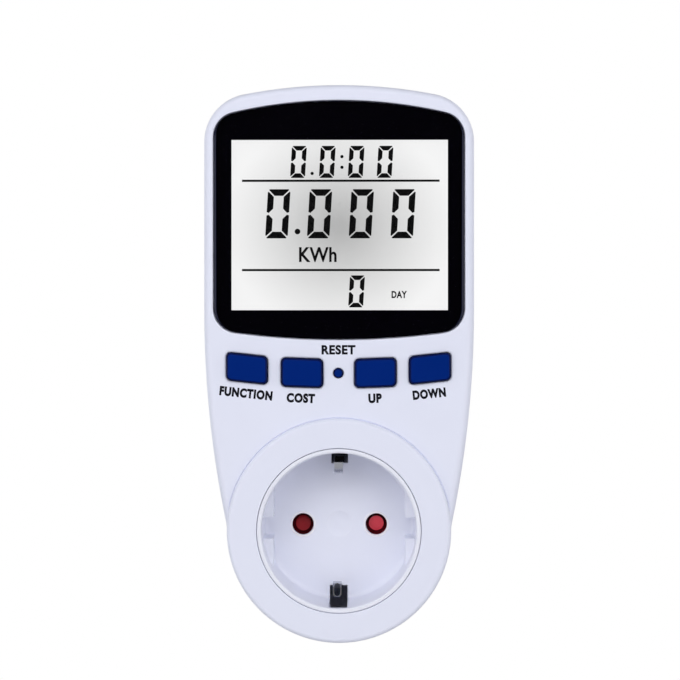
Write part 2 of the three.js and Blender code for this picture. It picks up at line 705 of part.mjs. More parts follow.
function switchBody(key) {
  const body = block([key.x - 3, key.x + 3], [switchFrontY, displayBoardY - 0.1], [key.z - 3, key.z + 3]);
  return body.subtract(rod(2, [switchFrontY - 1, switchFrontY + 1.7], [key.x, key.z], 16));
}

function switchPlunger(key) {
  return rod(1.7, [plungerFrontY, switchFrontY + 1.1], [key.x, key.z], 16);
}

// ---------------------------------------------------------------- fasteners and wires

// A pan-head screw whose head faces +Y, with its seat at the given plane.
function screw([x, z], seatY, headRadius, headHeight, shankRadius, length) {
  const reach = headRadius * 0.5;
  const slotPlanes = [seatY + headHeight - 0.6, seatY + headHeight + 1];
  const slot = block([-reach, reach], slotPlanes, [-0.3, 0.3]);
  return turned([
    [0, seatY - length], [shankRadius * 0.4, seatY - length], [shankRadius, seatY - length + 1],
    [shankRadius, seatY], [headRadius, seatY], [headRadius, seatY + headHeight * 0.5],
    [headRadius * 0.7, seatY + headHeight], [0, seatY + headHeight],
  ], 12).subtract(slot).translate([x, 0, z]);
}

const liveInRoute = [
  [-9.5, -13.4, 0], [-9.5, -17, 0.5], [-11, -21, 5],
  [-14, -22, 15], [-18, -23.5, 25], [-20, -25.2, 32.6],
];
const liveOutRoute = [
  [-9.5, -21.9, -2.9], [-8.7, -20.6, -1.6], [-6.5, -21.2, 4],
  [-6, -22, 14], [-8, -24, 25], [-10, -25.2, 32.6],
];

// ---------------------------------------------------------------- materials and assembly

function material(color, roughness, metalness = 0, extra = {}) {
  return new THREE.MeshStandardMaterial({ color, roughness, metalness, ...extra });
}

const shellWhite = material(0xdde1f2, 0.4);
const whiteInner = material(0xe6e8ee, 0.5);
const keyBlue = material(0x0a2672, 0.35);
const shutterRed = material(0xb02a3a, 0.4);
const clearLens = material(0xf4f6fa, 0.05, 0, { transparent: true, opacity: 0.3 });
const maskBlack = material(0x060509, 0.2);
const glassGrey = material(0xd5d8d6, 0.1);
const boardGreen = material(0x1f6b3a, 0.5);
const chipBlack = material(0x17171a, 0.6);
const plated = material(0xc9ccd2, 0.25, 1);
const brass = material(0xb08d4a, 0.35, 1);
const steel = material(0x9a9da3, 0.35, 1);
const copperAlloy = material(0x9a6a44, 0.4, 1);
const carrierGrey = material(0x8f949c, 0.6);
const zebraRubber = material(0xe9c9cf, 0.8);
const capacitorYellow = material(0xd8b33a, 0.5);
const sleeveBlack = material(0x1c1d24, 0.4);
const varistorBlue = material(0x2b55a8, 0.5);
const batteryGreen = material(0x3c9a5a, 0.4);
const wireBrown = material(0x6b3f24, 0.6);
const wireBlue = material(0x2a4fb0, 0.6);

const meter = new THREE.Group();

function add(name, piece, look) {
  const { vertProperties, triVerts } = piece.getMesh();
  const geometry = new THREE.BufferGeometry();
  geometry.setAttribute('position', new THREE.BufferAttribute(vertProperties, 3));
  geometry.setIndex(new THREE.BufferAttribute(triVerts, 1));
  geometry.computeVertexNormals();
  const mesh = new THREE.Mesh(geometry, look);
  mesh.name = name;
  meter.add(mesh);
}

add('front_housing', frontHousing(), shellWhite);
add('rear_housing', rearHousing(), shellWhite);
add('socket_insert', socketInsert(), shellWhite);

add('display_lens', displayLens(), clearLens);
add('lens_mask', lensMask(), maskBlack);
add('lcd_panel', lcdPanel(), glassGrey);
add('lcd_frame', lcdFrame(), whiteInner);
add('backlight_panel', backlightPanel(), whiteInner);
add('zebra_strip', zebraStrip(), zebraRubber);

add('display_board', displayBoard(), boardGreen);
add('controller_chip', controllerChip(), chipBlack);
add('crystal', crystal(), steel);
add('power_board', powerBoard(), boardGreen);
add('metering_chip', meteringChip(), chipBlack);
add('x2_capacitor', x2Capacitor(), capacitorYellow);
add('electrolytic_capacitor', electrolyticCapacitor(), sleeveBlack);
add('varistor', varistor(), varistorBlue);
add('shunt_resistor', shuntResistor(), copperAlloy);
add('bridge_rectifier', bridgeRectifier(), chipBlack);
add('board_link_header', boardLinkHeader(), chipBlack);
add('backup_battery', backupBattery(), batteryGreen);

for (const [sideName, side] of [['left', -1], ['right', 1]]) {
  add(`plug_pin_${sideName}`, plugPin(side), plated);
  add(`socket_contact_${sideName}`, socketContact(side), brass);
}
add('pin_retainer', pinRetainer(), whiteInner);
add('earth_strap', earthStrap(), plated);
add('earth_pin_receptacle', earthPinReceptacle(), brass);
add('socket_earth_clip_top', socketEarthClip(1, -0.15), plated);
add('socket_earth_clip_bottom', socketEarthClip(-1, -0.5), plated);
add('contact_carrier', contactCarrier(), carrierGrey);

add('safety_shutter', safetyShutter(), shutterRed);
add('shutter_spring', shutterSpring(), steel);
add('shutter_cover', shutterCover(), whiteInner);

for (const key of [...keys, resetKey]) {
  add(`${key.name}_key`, key === resetKey ? resetCap() : keyCap(key), keyBlue);
  add(`${key.name}_switch`, switchBody(key), chipBlack);
  add(`${key.name}_plunger`, switchPlunger(key), whiteInner);
}

housingBosses.forEach((place, i) => {
  add(`housing_screw_${i + 1}`, screw(place, -25.9, 2.7, 1.8, 1.3, 16), steel);
});
displayPosts.forEach((place, i) => {
  add(`display_screw_${i + 1}`, screw(place, displayRearY + 0.1, 1.9, 1.2, 1, 5.6), steel);
});

add('live_in_wire', wire(liveInRoute), wireBrown);
add('live_out_wire', wire(liveOutRoute), wireBrown);
add('neutral_in_wire', wire(mirrorX(liveInRoute)), wireBlue);
add('neutral_out_wire', wire(mirrorX(liveOutRoute)), wireBlue);

export default meter;
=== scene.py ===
"""Looks of a plug-in power meter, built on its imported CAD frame.

Numbers in the geometry are millimetres in the CAD frame: the origin is at the centre of the plug's end
face, +X is right for a user in front of the meter, +Y points into the wall outlet and +Z is up.
"""
import math

import bmesh
import bpy
from mathutils import Matrix, Vector


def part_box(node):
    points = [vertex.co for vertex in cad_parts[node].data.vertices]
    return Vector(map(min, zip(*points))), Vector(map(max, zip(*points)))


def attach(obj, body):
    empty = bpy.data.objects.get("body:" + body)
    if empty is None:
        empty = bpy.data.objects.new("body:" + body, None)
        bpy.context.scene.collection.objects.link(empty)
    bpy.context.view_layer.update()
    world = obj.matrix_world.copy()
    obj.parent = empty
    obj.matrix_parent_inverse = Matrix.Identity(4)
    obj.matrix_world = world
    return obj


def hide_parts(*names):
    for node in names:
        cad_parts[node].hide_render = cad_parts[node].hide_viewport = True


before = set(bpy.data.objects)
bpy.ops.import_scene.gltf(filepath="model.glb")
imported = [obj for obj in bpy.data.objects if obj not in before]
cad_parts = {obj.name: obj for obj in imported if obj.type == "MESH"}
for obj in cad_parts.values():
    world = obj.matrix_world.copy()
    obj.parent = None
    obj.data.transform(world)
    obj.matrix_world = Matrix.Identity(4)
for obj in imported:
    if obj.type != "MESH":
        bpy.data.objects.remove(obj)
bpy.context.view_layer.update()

MM = 0.001
SIDES = (-1, 1)


# ---------------------------------------------------------------- dimensions

WALL = 2.0
GAP = 0.3
REAR_Y = -18.0
SEAM_Y = -33.0
FRONT_Y = -54.0
RIM_Y = -55.5

BODY_HALF_WIDTH = 33.95
BODY_TOP = 111.8
TOP_ARC = 126.0
TOP_CORNER = 12.2
TAPER_ARC = 258.0
TAPER_START_Z = 55.0
TAPER_END_Z = 2.0
TOWER_RADIUS = 28.1
BOTTOM_RADIUS = 27.95
BOTTOM_START = math.radians(3)
FRONT_ROUND = 2.0
REAR_ROUND = 3.0
TOWER_ROUND = 1.2
WELL_ROUND = 0.2
LENS_OPENING_ROUND = 0.35
KEY_OPENING_ROUND = 0.5
RESET_OPENING_ROUND = 0.3
SEAM_GROOVE = 0.25
SEAM_GAP = 0.05
FOOT_GROOVE = 0.5
FOOT_GROOVE_DEPTH = 0.22

LENS_HALF_WIDTH = 31.6
LENS_TOP = 107.8
LENS_BOTTOM = 47.7
LENS_TOP_ARC = 118.0
LENS_BOTTOM_ARC = 198.0
LENS_CORNER = 6.3
LENS_FRONT_Y = FRONT_Y + 0.1
LENS_BACK_Y = LENS_FRONT_Y + 1.4
LENS_GAP = 0.2
LENS_BEVEL = 0.08
LENS_SIDE_BEVEL = 0.7
LENS_SIDE_START = 20.0
LEDGE_Y = FRONT_Y + 1.8
LEDGE_OPENING_HALF = 28.2
LEDGE_MARGIN = 1.3
DISPLAY_WALL = 1.5
PAD_BACK_Y = FRONT_Y + 3.5
WINDOW_X = (-27.05, 27.35)
WINDOW_Z = (55.2, 98.0)

WELL_RADIUS = 19.4
WELL_FLOOR_Y = -38.0
FLOOR_BACK_Y = -36.0
INSERT_RADIUS = 20.5
INSERT_SLACK = 0.14
INSERT_FLANGE = 23.4
INSERT_FLANGE_Y = WELL_FLOOR_Y - 2.7
INSERT_TUBE_END_Y = -41.0
PIN_SPACING = 19.0
PIN_HOLE = 2.75
PIN_HOLE_DEPTH = 0.8
PIN_RECESS = 4.2
PIN_RADIUS = 2.4
PIN_LENGTH = 19.0
CLIP_HALF_WIDTH = 1.1
# The slot at the top is side 1 and the one at the bottom is side -1
EARTH_SLOT_X = {1: (-2.15, 2.15), -1: (-2.55, 2.05)}
EARTH_SLOT_INNER = 15.8
EARTH_SLOT_START = 1.2
NOTCH_REACH = 24.0
PAD_HALF = 16.8
PAD_FRONT_Y = -48.0
GROOVE_HALF = 2.7
SHUTTER_POST_Z = 9.5
SHUTTER_POST_END_Y = -24.9
SHUTTER_PIVOT_RADIUS = 1.8
SHUTTER_PIVOT_END_Y = -33.0
SHUTTER_FRONT_Y = FLOOR_BACK_Y + 0.3
SHUTTER_BACK_Y = FLOOR_BACK_Y + 2.3
SHUTTER_REACH = 13.2
SHUTTER_HALF_WIDTH = 3.35
SHUTTER_HUB = 5.0
SHUTTER_SLOPE = math.tan(0.19)

PLUG_RADIUS = 18.5
PLUG_FLAT = 16.6
PLUG_FLAT_HALF = 14.0
PLUG_NOTCH_HALF = 3.0
PLUG_HOLLOW_RADIUS = 15.5
PLUG_HOLLOW_HALF = 14.4
PLUG_END_WALL = 3.0
STRIP_SLOT_HALF = 2.8
STRIP_SLOT_Z = (16.5, 18.1)
EARTH_HOLE_Z = 10.0
EARTH_HOLE_RADIUS = 2.6
EARTH_HOLE_MOUTH = 3.4

KEY_FRONT_Y = FRONT_Y - 1.1
KEY_ROUND = 0.55
KEY_CORNER = 1.1
KEY_SLACK = 0.18
KEY_FLANGE_Y = FRONT_Y + WALL + 0.3
KEY_FLANGE = 0.9
KEY_FLANGE_THICKNESS = 1.0
STEM_RADIUS = 1.5
STEM_END_Y = -49.4
KEYS = {
    "function": dict(x=-23.05, z=40.6, width=10.1, height=6.8, slope=-6.1),
    "cost": dict(x=-9.25, z=39.5, width=10.2, height=7.0, slope=-2.0),
    "up": dict(x=9.15, z=39.5, width=10.2, height=7.0, slope=2.0),
    "down": dict(x=22.8, z=40.6, width=10.2, height=6.8, slope=6.1),
}
RESET = dict(x=-0.15, z=39.4, radius=1.12)
RESET_FRONT_Y = FRONT_Y - 0.5
RESET_ROUND = 0.35
RESET_FLANGE = 2.4

HOUSING_BOSSES = [(-22, 104.4), (22, 104.4), (-27.2, 27), (27.2, 27)]
FRONT_BOSS_RADIUS = 3.1
REAR_BOSS_RADIUS = 4.3
SCREW_HOLE = 1.6
SCREW_HOLE_DEPTH = 13.0
SCREW_SEAT_Y = -25.9
COUNTERBORE_RADIUS = 3.0
COUNTERBORE_MOUTH = 3.6
COUNTERBORE_Y = -26.0
DISPLAY_POSTS = [(-26, 49.3), (26, 49.3)]
POST_RADIUS = 2.4
POST_END_Y = -44.7
GLASS_Y = -49.3
MARK_THICKNESS = 0.03
INK_THICKNESS = 0.02
LEGEND_HEIGHT = 2.4

# The studio, in metres
EYE = (0.0055, -0.5105, 0.0477)
EYE_TURN = math.radians(0.657)
FLOOR_TONE = (236, 236, 238)
FLOOR_Z = -0.6
FLOOR_HALF = 2.8
PALE_REACH = (0.8, 2.6)
SOFTBOX = (-0.25, -1.6, 1.3)
SOFTBOX_AIM = (0, -0.04, 0.04)
SOFTBOX_SIZE = 1.4
SOFTBOX_POWER = 9.5

# How far a piece reaches into the one that it is joined to, how far a cutter passes a surface, and how far
# the rounded mouth of a cutter stands in front of it
BITE = 0.1
PAST = 1.0
MOUTH = 0.6
SHARP_ANGLE = math.radians(32)

MOTTLE_SCALE = 90
GLOSS_SPREAD = 0.05
GRAIN_DEPTH = 0.02


# ---------------------------------------------------------------- mesh helpers

def arc(centre, radius, start, end, steps):
    """Points of an arc in the X-Z plane, from one angle to another in radians."""
    angles = [start + (end - start) * i / steps for i in range(steps + 1)]
    return [(centre[0] + radius * math.cos(a), centre[1] + radius * math.sin(a)) for a in angles]


def outline_of(*stretches):
    """One closed outline, without the points that two stretches share."""
    points = [point for stretch in stretches for point in stretch]
    return [p for i, p in enumerate(points) if math.dist(p, points[i - 1]) > 0.004]


def body_outline(inset):
    """The housing as seen from the front, inset all round: a bowed top, tapering sides and a round foot."""
    corner_x = BODY_HALF_WIDTH - TOP_CORNER
    top_z = BODY_TOP - TOP_ARC
    corner_z = top_z + math.sqrt((TOP_ARC - TOP_CORNER) ** 2 - corner_x ** 2)
    turn = math.atan2(corner_z - top_z, corner_x)
    taper_x = BODY_HALF_WIDTH - TAPER_ARC
    taper = math.asin((TAPER_START_Z - TAPER_END_Z) / TAPER_ARC)
    pi = math.pi
    return outline_of(
        arc((corner_x, corner_z), TOP_CORNER - inset, 0, turn, 20),
        arc((0, top_z), TOP_ARC - inset, turn, pi - turn, 40),
        arc((-corner_x, corner_z), TOP_CORNER - inset, pi - turn, pi, 20),
        arc((-taper_x, TAPER_START_Z), TAPER_ARC - inset, pi, pi + taper, 16),
        arc((0, 0), BOTTOM_RADIUS - inset, pi + BOTTOM_START, 2 * pi - BOTTOM_START, 96),
        arc((taper_x, TAPER_START_Z), TAPER_ARC - inset, -taper, 0, 16),
    )


def lens_outline(inset):
    """The lens as seen from the front, inset all round, with its bowed top and bottom."""
    corner_x = LENS_HALF_WIDTH - LENS_CORNER
    top_z = LENS_TOP - LENS_TOP_ARC
    bottom_z = LENS_BOTTOM + LENS_BOTTOM_ARC
    top_corner = top_z + math.sqrt((LENS_TOP_ARC - LENS_CORNER) ** 2 - corner_x ** 2)
    bottom_corner = bottom_z - math.sqrt((LENS_BOTTOM_ARC - LENS_CORNER) ** 2 - corner_x ** 2)
    top = math.atan2(top_corner - top_z, corner_x)
    bottom = math.atan2(bottom_z - bottom_corner, corner_x)
    radius = LENS_CORNER - inset
    pi = math.pi
    return outline_of(
        arc((corner_x, top_corner), radius, 0, top, 16),
        arc((0, top_z), LENS_TOP_ARC - inset, top, pi - top, 40),
        arc((-corner_x, top_corner), radius, pi - top, pi, 16),
        arc((-corner_x, bottom_corner), radius, pi, pi + bottom, 16),
        arc((0, bottom_z), LENS_BOTTOM_ARC - inset, pi + bottom, 2 * pi - bottom, 32),
        arc((corner_x, bottom_corner), radius, -bottom, 0, 16),
    )


def rounded_rect(width, height, radius, steps=8):
    x = width / 2 - radius
    z = height / 2 - radius
    turn = math.pi / 2
    centres = [(x, z), (-x, z), (-x, -z), (x, -z)]
    return outline_of(*[
        arc(centre, radius, i * turn, (i + 1) * turn, steps) for i, centre in enumerate(centres)
    ])


def key_outline(key, margin):
    """A key's rounded block, grown by margin and sheared to follow the arc of keys."""
    shear = math.tan(math.radians(key["slope"]))
    corner = max(KEY_CORNER + margin / 2, 0.3)
    flat = rounded_rect(key["width"] + 2 * margin, key["height"] + 2 * margin, corner)
    return [(key["x"] + x, key["z"] + z + shear * x) for x, z in flat]


def circle(radius, centre=(0, 0), steps=48):
    return arc(centre, radius, 0, 2 * math.pi * (steps - 1) / steps, steps - 1)


def new_object(name, mesh):
    piece = bpy.data.objects.new(name, mesh)
    bpy.context.scene.collection.objects.link(piece)
    return piece


def mesh_object(name, points, faces):
    mesh = bpy.data.meshes.new(name)
    mesh.from_pydata([Vector(p) * MM for p in points], [], faces)
    shape = bmesh.new()
    shape.from_mesh(mesh)
    bmesh.ops.recalc_face_normals(shape, faces=shape.faces)
    shape.to_mesh(mesh)
    shape.free()
    return new_object(name, mesh)


def loft(rings):
    """A closed body through rings of equal length; each ring is a plane Y and an outline."""
    count = len(rings[0][1])
    points = [(x, y, z) for y, outline in rings for x, z in outline]
    faces = [tuple(range(count)), tuple(range(len(points) - count, len(points)))]
    for ring in range(len(rings) - 1):
        low = ring * count
        for i in range(count):
            j = (i + 1) % count
            faces.append((low + i, low + j, low + count + j, low + count + i))
    return mesh_object("tool", points, faces)


def prism(outline, y0, y1):
    return loft([(y0, outline), (y1, outline)])


def block(x, y, z):
    return prism([(x[0], z[0]), (x[1], z[0]), (x[1], z[1]), (x[0], z[1])], y[0], y[1])


def rod(radius, y, centre=(0, 0), steps=32):
    return prism(circle(radius, centre, steps), y[0], y[1])


def turned(profile, centre=(0, 0), steps=96):
    """A body turned about an axis along Y; the profile lists radius and plane, from axis to axis."""
    return loft([(y, circle(r, centre, steps)) for r, y in profile])


def hoop(profile, centre=(0, 0), steps=64):
    """A ring about an axis along Y, with a closed profile of radius and plane."""
    count = len(profile)
    points = []
    for step in range(steps):
        a = 2 * math.pi * step / steps
        points += [(centre[0] + r * math.cos(a), y, centre[1] + r * math.sin(a)) for r, y in profile]
    faces = []
    for step in range(steps):
        here = step * count
        there = (step + 1) % steps * count
        for i in range(count):
            j = (i + 1) % count
            faces.append((here + i, here + j, there + j, there + i))
    return mesh_object("tool", points, faces)


def quarter(centre, radius, start, end, steps=6):
    """Points of a rounded edge on a turned profile, from one angle to another in degrees."""
    return arc(centre, radius, math.radians(start), math.radians(end), steps)


def rounded_cutter(outline_at, margin, radius, face_y, end_y):
    """A cutter for an opening in a face towards -Y, with the edge of the opening rounded."""
    rings = [(face_y - MOUTH, outline_at(margin + radius))]
    steps = 4
    for i in range(steps + 1):
        a = math.pi / 2 * i / steps
        rings.append((
            face_y + radius * (1 - math.cos(a)), outline_at(margin + radius * (1 - math.sin(a))),
        ))
    rings.append((end_y, outline_at(margin)))
    return loft(rings)


def combine(piece, operation, tools):
    """Joins, cuts or intersects a piece with tools, and uses the tools up."""
    for tool in tools:
        modifier = piece.modifiers.new("combine", "BOOLEAN")
        modifier.operation = operation
        modifier.solver = "EXACT"
        modifier.object = tool
    bpy.context.view_layer.update()
    graph = bpy.context.evaluated_depsgraph_get()
    mesh = bpy.data.meshes.new_from_object(piece.evaluated_get(graph))
    piece.modifiers.clear()
    piece.data = mesh
    for tool in tools:
        bpy.data.objects.remove(tool)
    return piece


def join(piece, *tools):
    return combine(piece, "UNION", tools)


def cut(piece, *tools):
    return combine(piece, "DIFFERENCE", tools)


def finish_edges(piece, bevel):
    """Smooth shading with sharp edges kept, and a small bevel where one is asked for."""
    mesh = piece.data
    mesh.polygons.foreach_set("use_smooth", [True] * len(mesh.polygons))
    mesh.set_sharp_from_angle(angle=SHARP_ANGLE)
    if bevel:
        modifier = piece.modifiers.new("edge", "BEVEL")
        modifier.width = bevel * MM
        modifier.segments = 2
        modifier.limit_method = "ANGLE"
        modifier.angle_limit = SHARP_ANGLE
        modifier.miter_outer = "MITER_ARC"
    weighted = piece.modifiers.new("normals", "WEIGHTED_NORMAL")
    weighted.keep_sharp = True


def dress(piece, name, look, body="meter", replaces=(), bevel=0.0):
    """Names and finishes a piece, and tells the frame what it rides on and stands for."""
    piece.name = name
    piece.data.name = name
    piece.data.materials.clear()
    piece.data.materials.append(look)
    finish_edges(piece, bevel)
    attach(piece, body)
    if replaces:
        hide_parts(*replaces)


# ---------------------------------------------------------------- materials

def linear(red, green, blue):
    """Display values from 0 to 255 as a linear colour."""
    def one(value):
        value /= 255
        return value / 12.92 if value <= 0.04045 else ((value + 0.055) / 1.055) ** 2.4
    return (one(red), one(green), one(blue), 1.0)


SOCKETS = {"alpha": "Alpha", "specular_ior_level": "Specular IOR Level"}


def surface(name, colour, roughness, metallic=0.0, mottle=0.04, grain=0.1, grain_size=0.3, **sockets):
    """A moulded, printed or plated surface: slight mottling, uneven gloss and a fine grain."""
    look = bpy.data.materials.new(name)
    look.use_nodes = True
    nodes = look.node_tree.nodes
    links = look.node_tree.links
    shader = nodes["Principled BSDF"]
    shader.inputs["Metallic"].default_value = metallic
    for socket, value in sockets.items():
        shader.inputs[SOCKETS[socket]].default_value = value
    place = nodes.new("ShaderNodeTexCoord")

    cloud = nodes.new("ShaderNodeTexNoise")
    cloud.inputs["Scale"].default_value = MOTTLE_SCALE
    cloud.inputs["Detail"].default_value = 4
    links.new(place.outputs["Object"], cloud.inputs["Vector"])
    tint = nodes.new("ShaderNodeMix")
    tint.data_type = "RGBA"
    tint.inputs["A"].default_value = [c * (1 - mottle) for c in colour[:3]] + [1]
    tint.inputs["B"].default_value = [min(c * (1 + mottle), 1) for c in colour[:3]] + [1]
    links.new(cloud.outputs["Fac"], tint.inputs["Factor"])
    links.new(tint.outputs["Result"], shader.inputs["Base Color"])
    gloss = nodes.new("ShaderNodeMapRange")
    gloss.inputs["To Min"].default_value = max(roughness - GLOSS_SPREAD, 0.02)
    gloss.inputs["To Max"].default_value = roughness + GLOSS_SPREAD
    links.new(cloud.outputs["Fac"], gloss.inputs["Value"])
    links.new(gloss.outputs["Result"], shader.inputs["Roughness"])

    pits = nodes.new("ShaderNodeTexNoise")
    pits.inputs["Scale"].default_value = 1 / (grain_size * MM)
    pits.inputs["Detail"].default_value = 2
    links.new(place.outputs["Object"], pits.inputs["Vector"])
    bump = nodes.new("ShaderNodeBump")
    bump.inputs["Strength"].default_value = grain
    bump.inputs["Distance"].default_value = GRAIN_DEPTH * MM
    links.new(pits.outputs["Fac"], bump.inputs["Height"])
    links.new(bump.outputs["Normal"], shader.inputs["Normal"])
    return look


SHELL = surface("shell_plastic", linear(234, 237, 254), 0.42, mottle=0.012, grain=0.12)
CUP = surface("cup_plastic", linear(240, 242, 255), 0.38, mottle=0.012, grain=0.08)
# Painted highlight: the beads round the pin holes are whiter than the cup, to show a bright ring
BEAD_PAINTED_HIGHLIGHT = surface("cup_bead_painted_highlight", linear(254, 251, 255), 0.3, mottle=0.01, grain=0.02)
INNER_WHITE = surface("inner_plastic", linear(232, 234, 238), 0.5)
KEY_BLUE = surface(
    "key_plastic", linear(0, 37, 119), 0.3, mottle=0.05, grain=0.08, specular_ior_level=0.06,
)
# Painted shade: a darker blue for the keys' rounded edges and sides, which turn away from the light
KEY_EDGE_PAINTED_SHADE = surface(
    "key_edge_painted_shade", linear(0, 18, 80), 0.4, mottle=0.05, grain=0.08, specular_ior_level=0.04,
)
PLUNGER = surface("plunger_plastic", linear(235, 236, 238), 0.4)
MASK = surface("mask_print", linear(3, 2, 7), 0.14, mottle=0.1, grain=0.02, specular_ior_level=0.1)
# The lens bevel: dark blue-grey, partly real gloss over black and partly a painted sheen that stands in for
# what the bevel reflects
LENS_EDGE_PAINTED_SHEEN = surface(
    "lens_edge_painted_sheen", linear(20, 22, 46), 0.12, mottle=0.1, grain=0.01, specular_ior_level=0.22,
)
INK = surface(
    "legend_ink", linear(10, 10, 22), 0.5, mottle=0.1, grain=0.2, grain_size=0.1, specular_ior_level=0.15,
)
SEGMENT = surface("lcd_segment", linear(4, 4, 5), 0.6, mottle=0.1, grain=0.02, specular_ior_level=0.1)
SHUTTER = surface("shutter_plastic", linear(255, 72, 92), 0.26, mottle=0.05)
# Painted shade: a darker red for the left blade, so it looks shaded beside the plain red of the right blade
SHUTTER_LEFT_PAINTED_SHADE = surface(
    "shutter_left_painted_shade", linear(158, 14, 30), 0.35, mottle=0.08, specular_ior_level=0.2,
)
# Painted shade: a darker red for the faces down in the shutter's ring grooves, where shade falls
SHUTTER_GROOVE_PAINTED_SHADE = surface(
    "shutter_groove_painted_shade", linear(104, 10, 28), 0.5, mottle=0.05, specular_ior_level=0.1,
)
NICKEL = surface("nickel_plate", linear(205, 206, 212), 0.22, metallic=1, mottle=0.05, grain=0.05)
# Painted shade: the clips turn dark where they run deep into the earth slots, so the slots read black
CLIP_DEEP_PAINTED_SHADE = surface("clip_deep_painted_shade", linear(38, 38, 42), 0.5, metallic=1, mottle=0.1)
STEEL = surface("bright_steel", linear(168, 170, 176), 0.3, metallic=1, mottle=0.08, grain=0.08)
BRASS = surface("contact_brass", linear(190, 155, 88), 0.32, metallic=1, mottle=0.1)
RESISTANCE = surface("resistance_metal", linear(160, 118, 82), 0.4, metallic=1, mottle=0.1)
BOARD = surface("board_green", linear(34, 104, 60), 0.45, mottle=0.12, grain=0.3, grain_size=0.5)
CHIP = surface("chip_black", linear(26, 26, 30), 0.6, mottle=0.1, grain=0.3)
CAPACITOR = surface("capacitor_yellow", linear(214, 176, 58), 0.45)
SLEEVE = surface("sleeve_black", linear(30, 31, 40), 0.35)
VARISTOR = surface("varistor_blue", linear(44, 86, 168), 0.45)
BATTERY = surface("battery_green", linear(62, 152, 92), 0.35)
CARRIER = surface("carrier_dark", linear(34, 35, 40), 0.55)
ZEBRA = surface("zebra_rubber", linear(232, 204, 210), 0.75)
WIRE_BROWN = surface("wire_brown", linear(108, 64, 38), 0.5)
WIRE_BLUE = surface("wire_blue", linear(44, 82, 176), 0.5)


def display_glass_with_painted_glow():
    """Polarised glass that glows: light grey at the edges and darker towards the middle. The glow stands
    partly for the backlight and partly is painted light, and this edge-to-middle shading is painted.
    """
    look = surface("lcd_glass", linear(70, 71, 71), 0.3, mottle=0.02, grain=0.01)
    nodes = look.node_tree.nodes
    links = look.node_tree.links
    low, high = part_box("lcd_panel")
    centre = (low + high) / 2
    place = nodes.new("ShaderNodeTexCoord")
    fit = nodes.new("ShaderNodeMapping")
    fit.vector_type = "POINT"
    scale = (1 / (high.x - low.x), 0, 0.86 / (high.z - low.z))
    fit.inputs["Scale"].default_value = [2 * s for s in scale]
    fit.inputs["Location"].default_value = [-2 * c * s for c, s in zip(centre, scale)]
    links.new(place.outputs["Object"], fit.inputs["Vector"])
    reach = nodes.new("ShaderNodeVectorMath")
    reach.operation = "LENGTH"
    links.new(fit.outputs["Vector"], reach.inputs[0])
    # Painted light: the glow is lighter towards the edges of the glass and darker in the middle
    shade = nodes.new("ShaderNodeValToRGB")
    stops = shade.color_ramp.elements
    stops[0].position = 0.05
    stops[0].color = linear(182, 182, 182)
    stops[1].position = 1.0
    stops[1].color = linear(255, 255, 255)
    for position, level in ((0.4, 214), (0.75, 240)):
        stops.new(position).color = linear(level, level, level)
    links.new(reach.outputs["Value"], shade.inputs["Fac"])
    # The painted glow drives the emission, so no shadow falls on the glass
    shader = nodes["Principled BSDF"]
    links.new(shade.outputs["Color"], shader.inputs["Emission Color"])
    shader.inputs["Emission Strength"].default_value = 0.95
    return look


LCD_GLASS_PAINTED_GLOW = display_glass_with_painted_glow()
CLEAR = surface("clear_lens", linear(8, 8, 12), 0.06, mottle=0.02, grain=0.0, alpha=0.05)


# ---------------------------------------------------------------- shells

def rounded_front(outline_at, front_y, radius, steps=8):
    """Rings of a body whose front edge is rounded."""
    rings = []
    for i in range(steps + 1):
        a = math.pi / 2 * i / steps
        rings.append((front_y + radius * (1 - math.cos(a)), outline_at(radius * (1 - math.sin(a)))))
    return rings


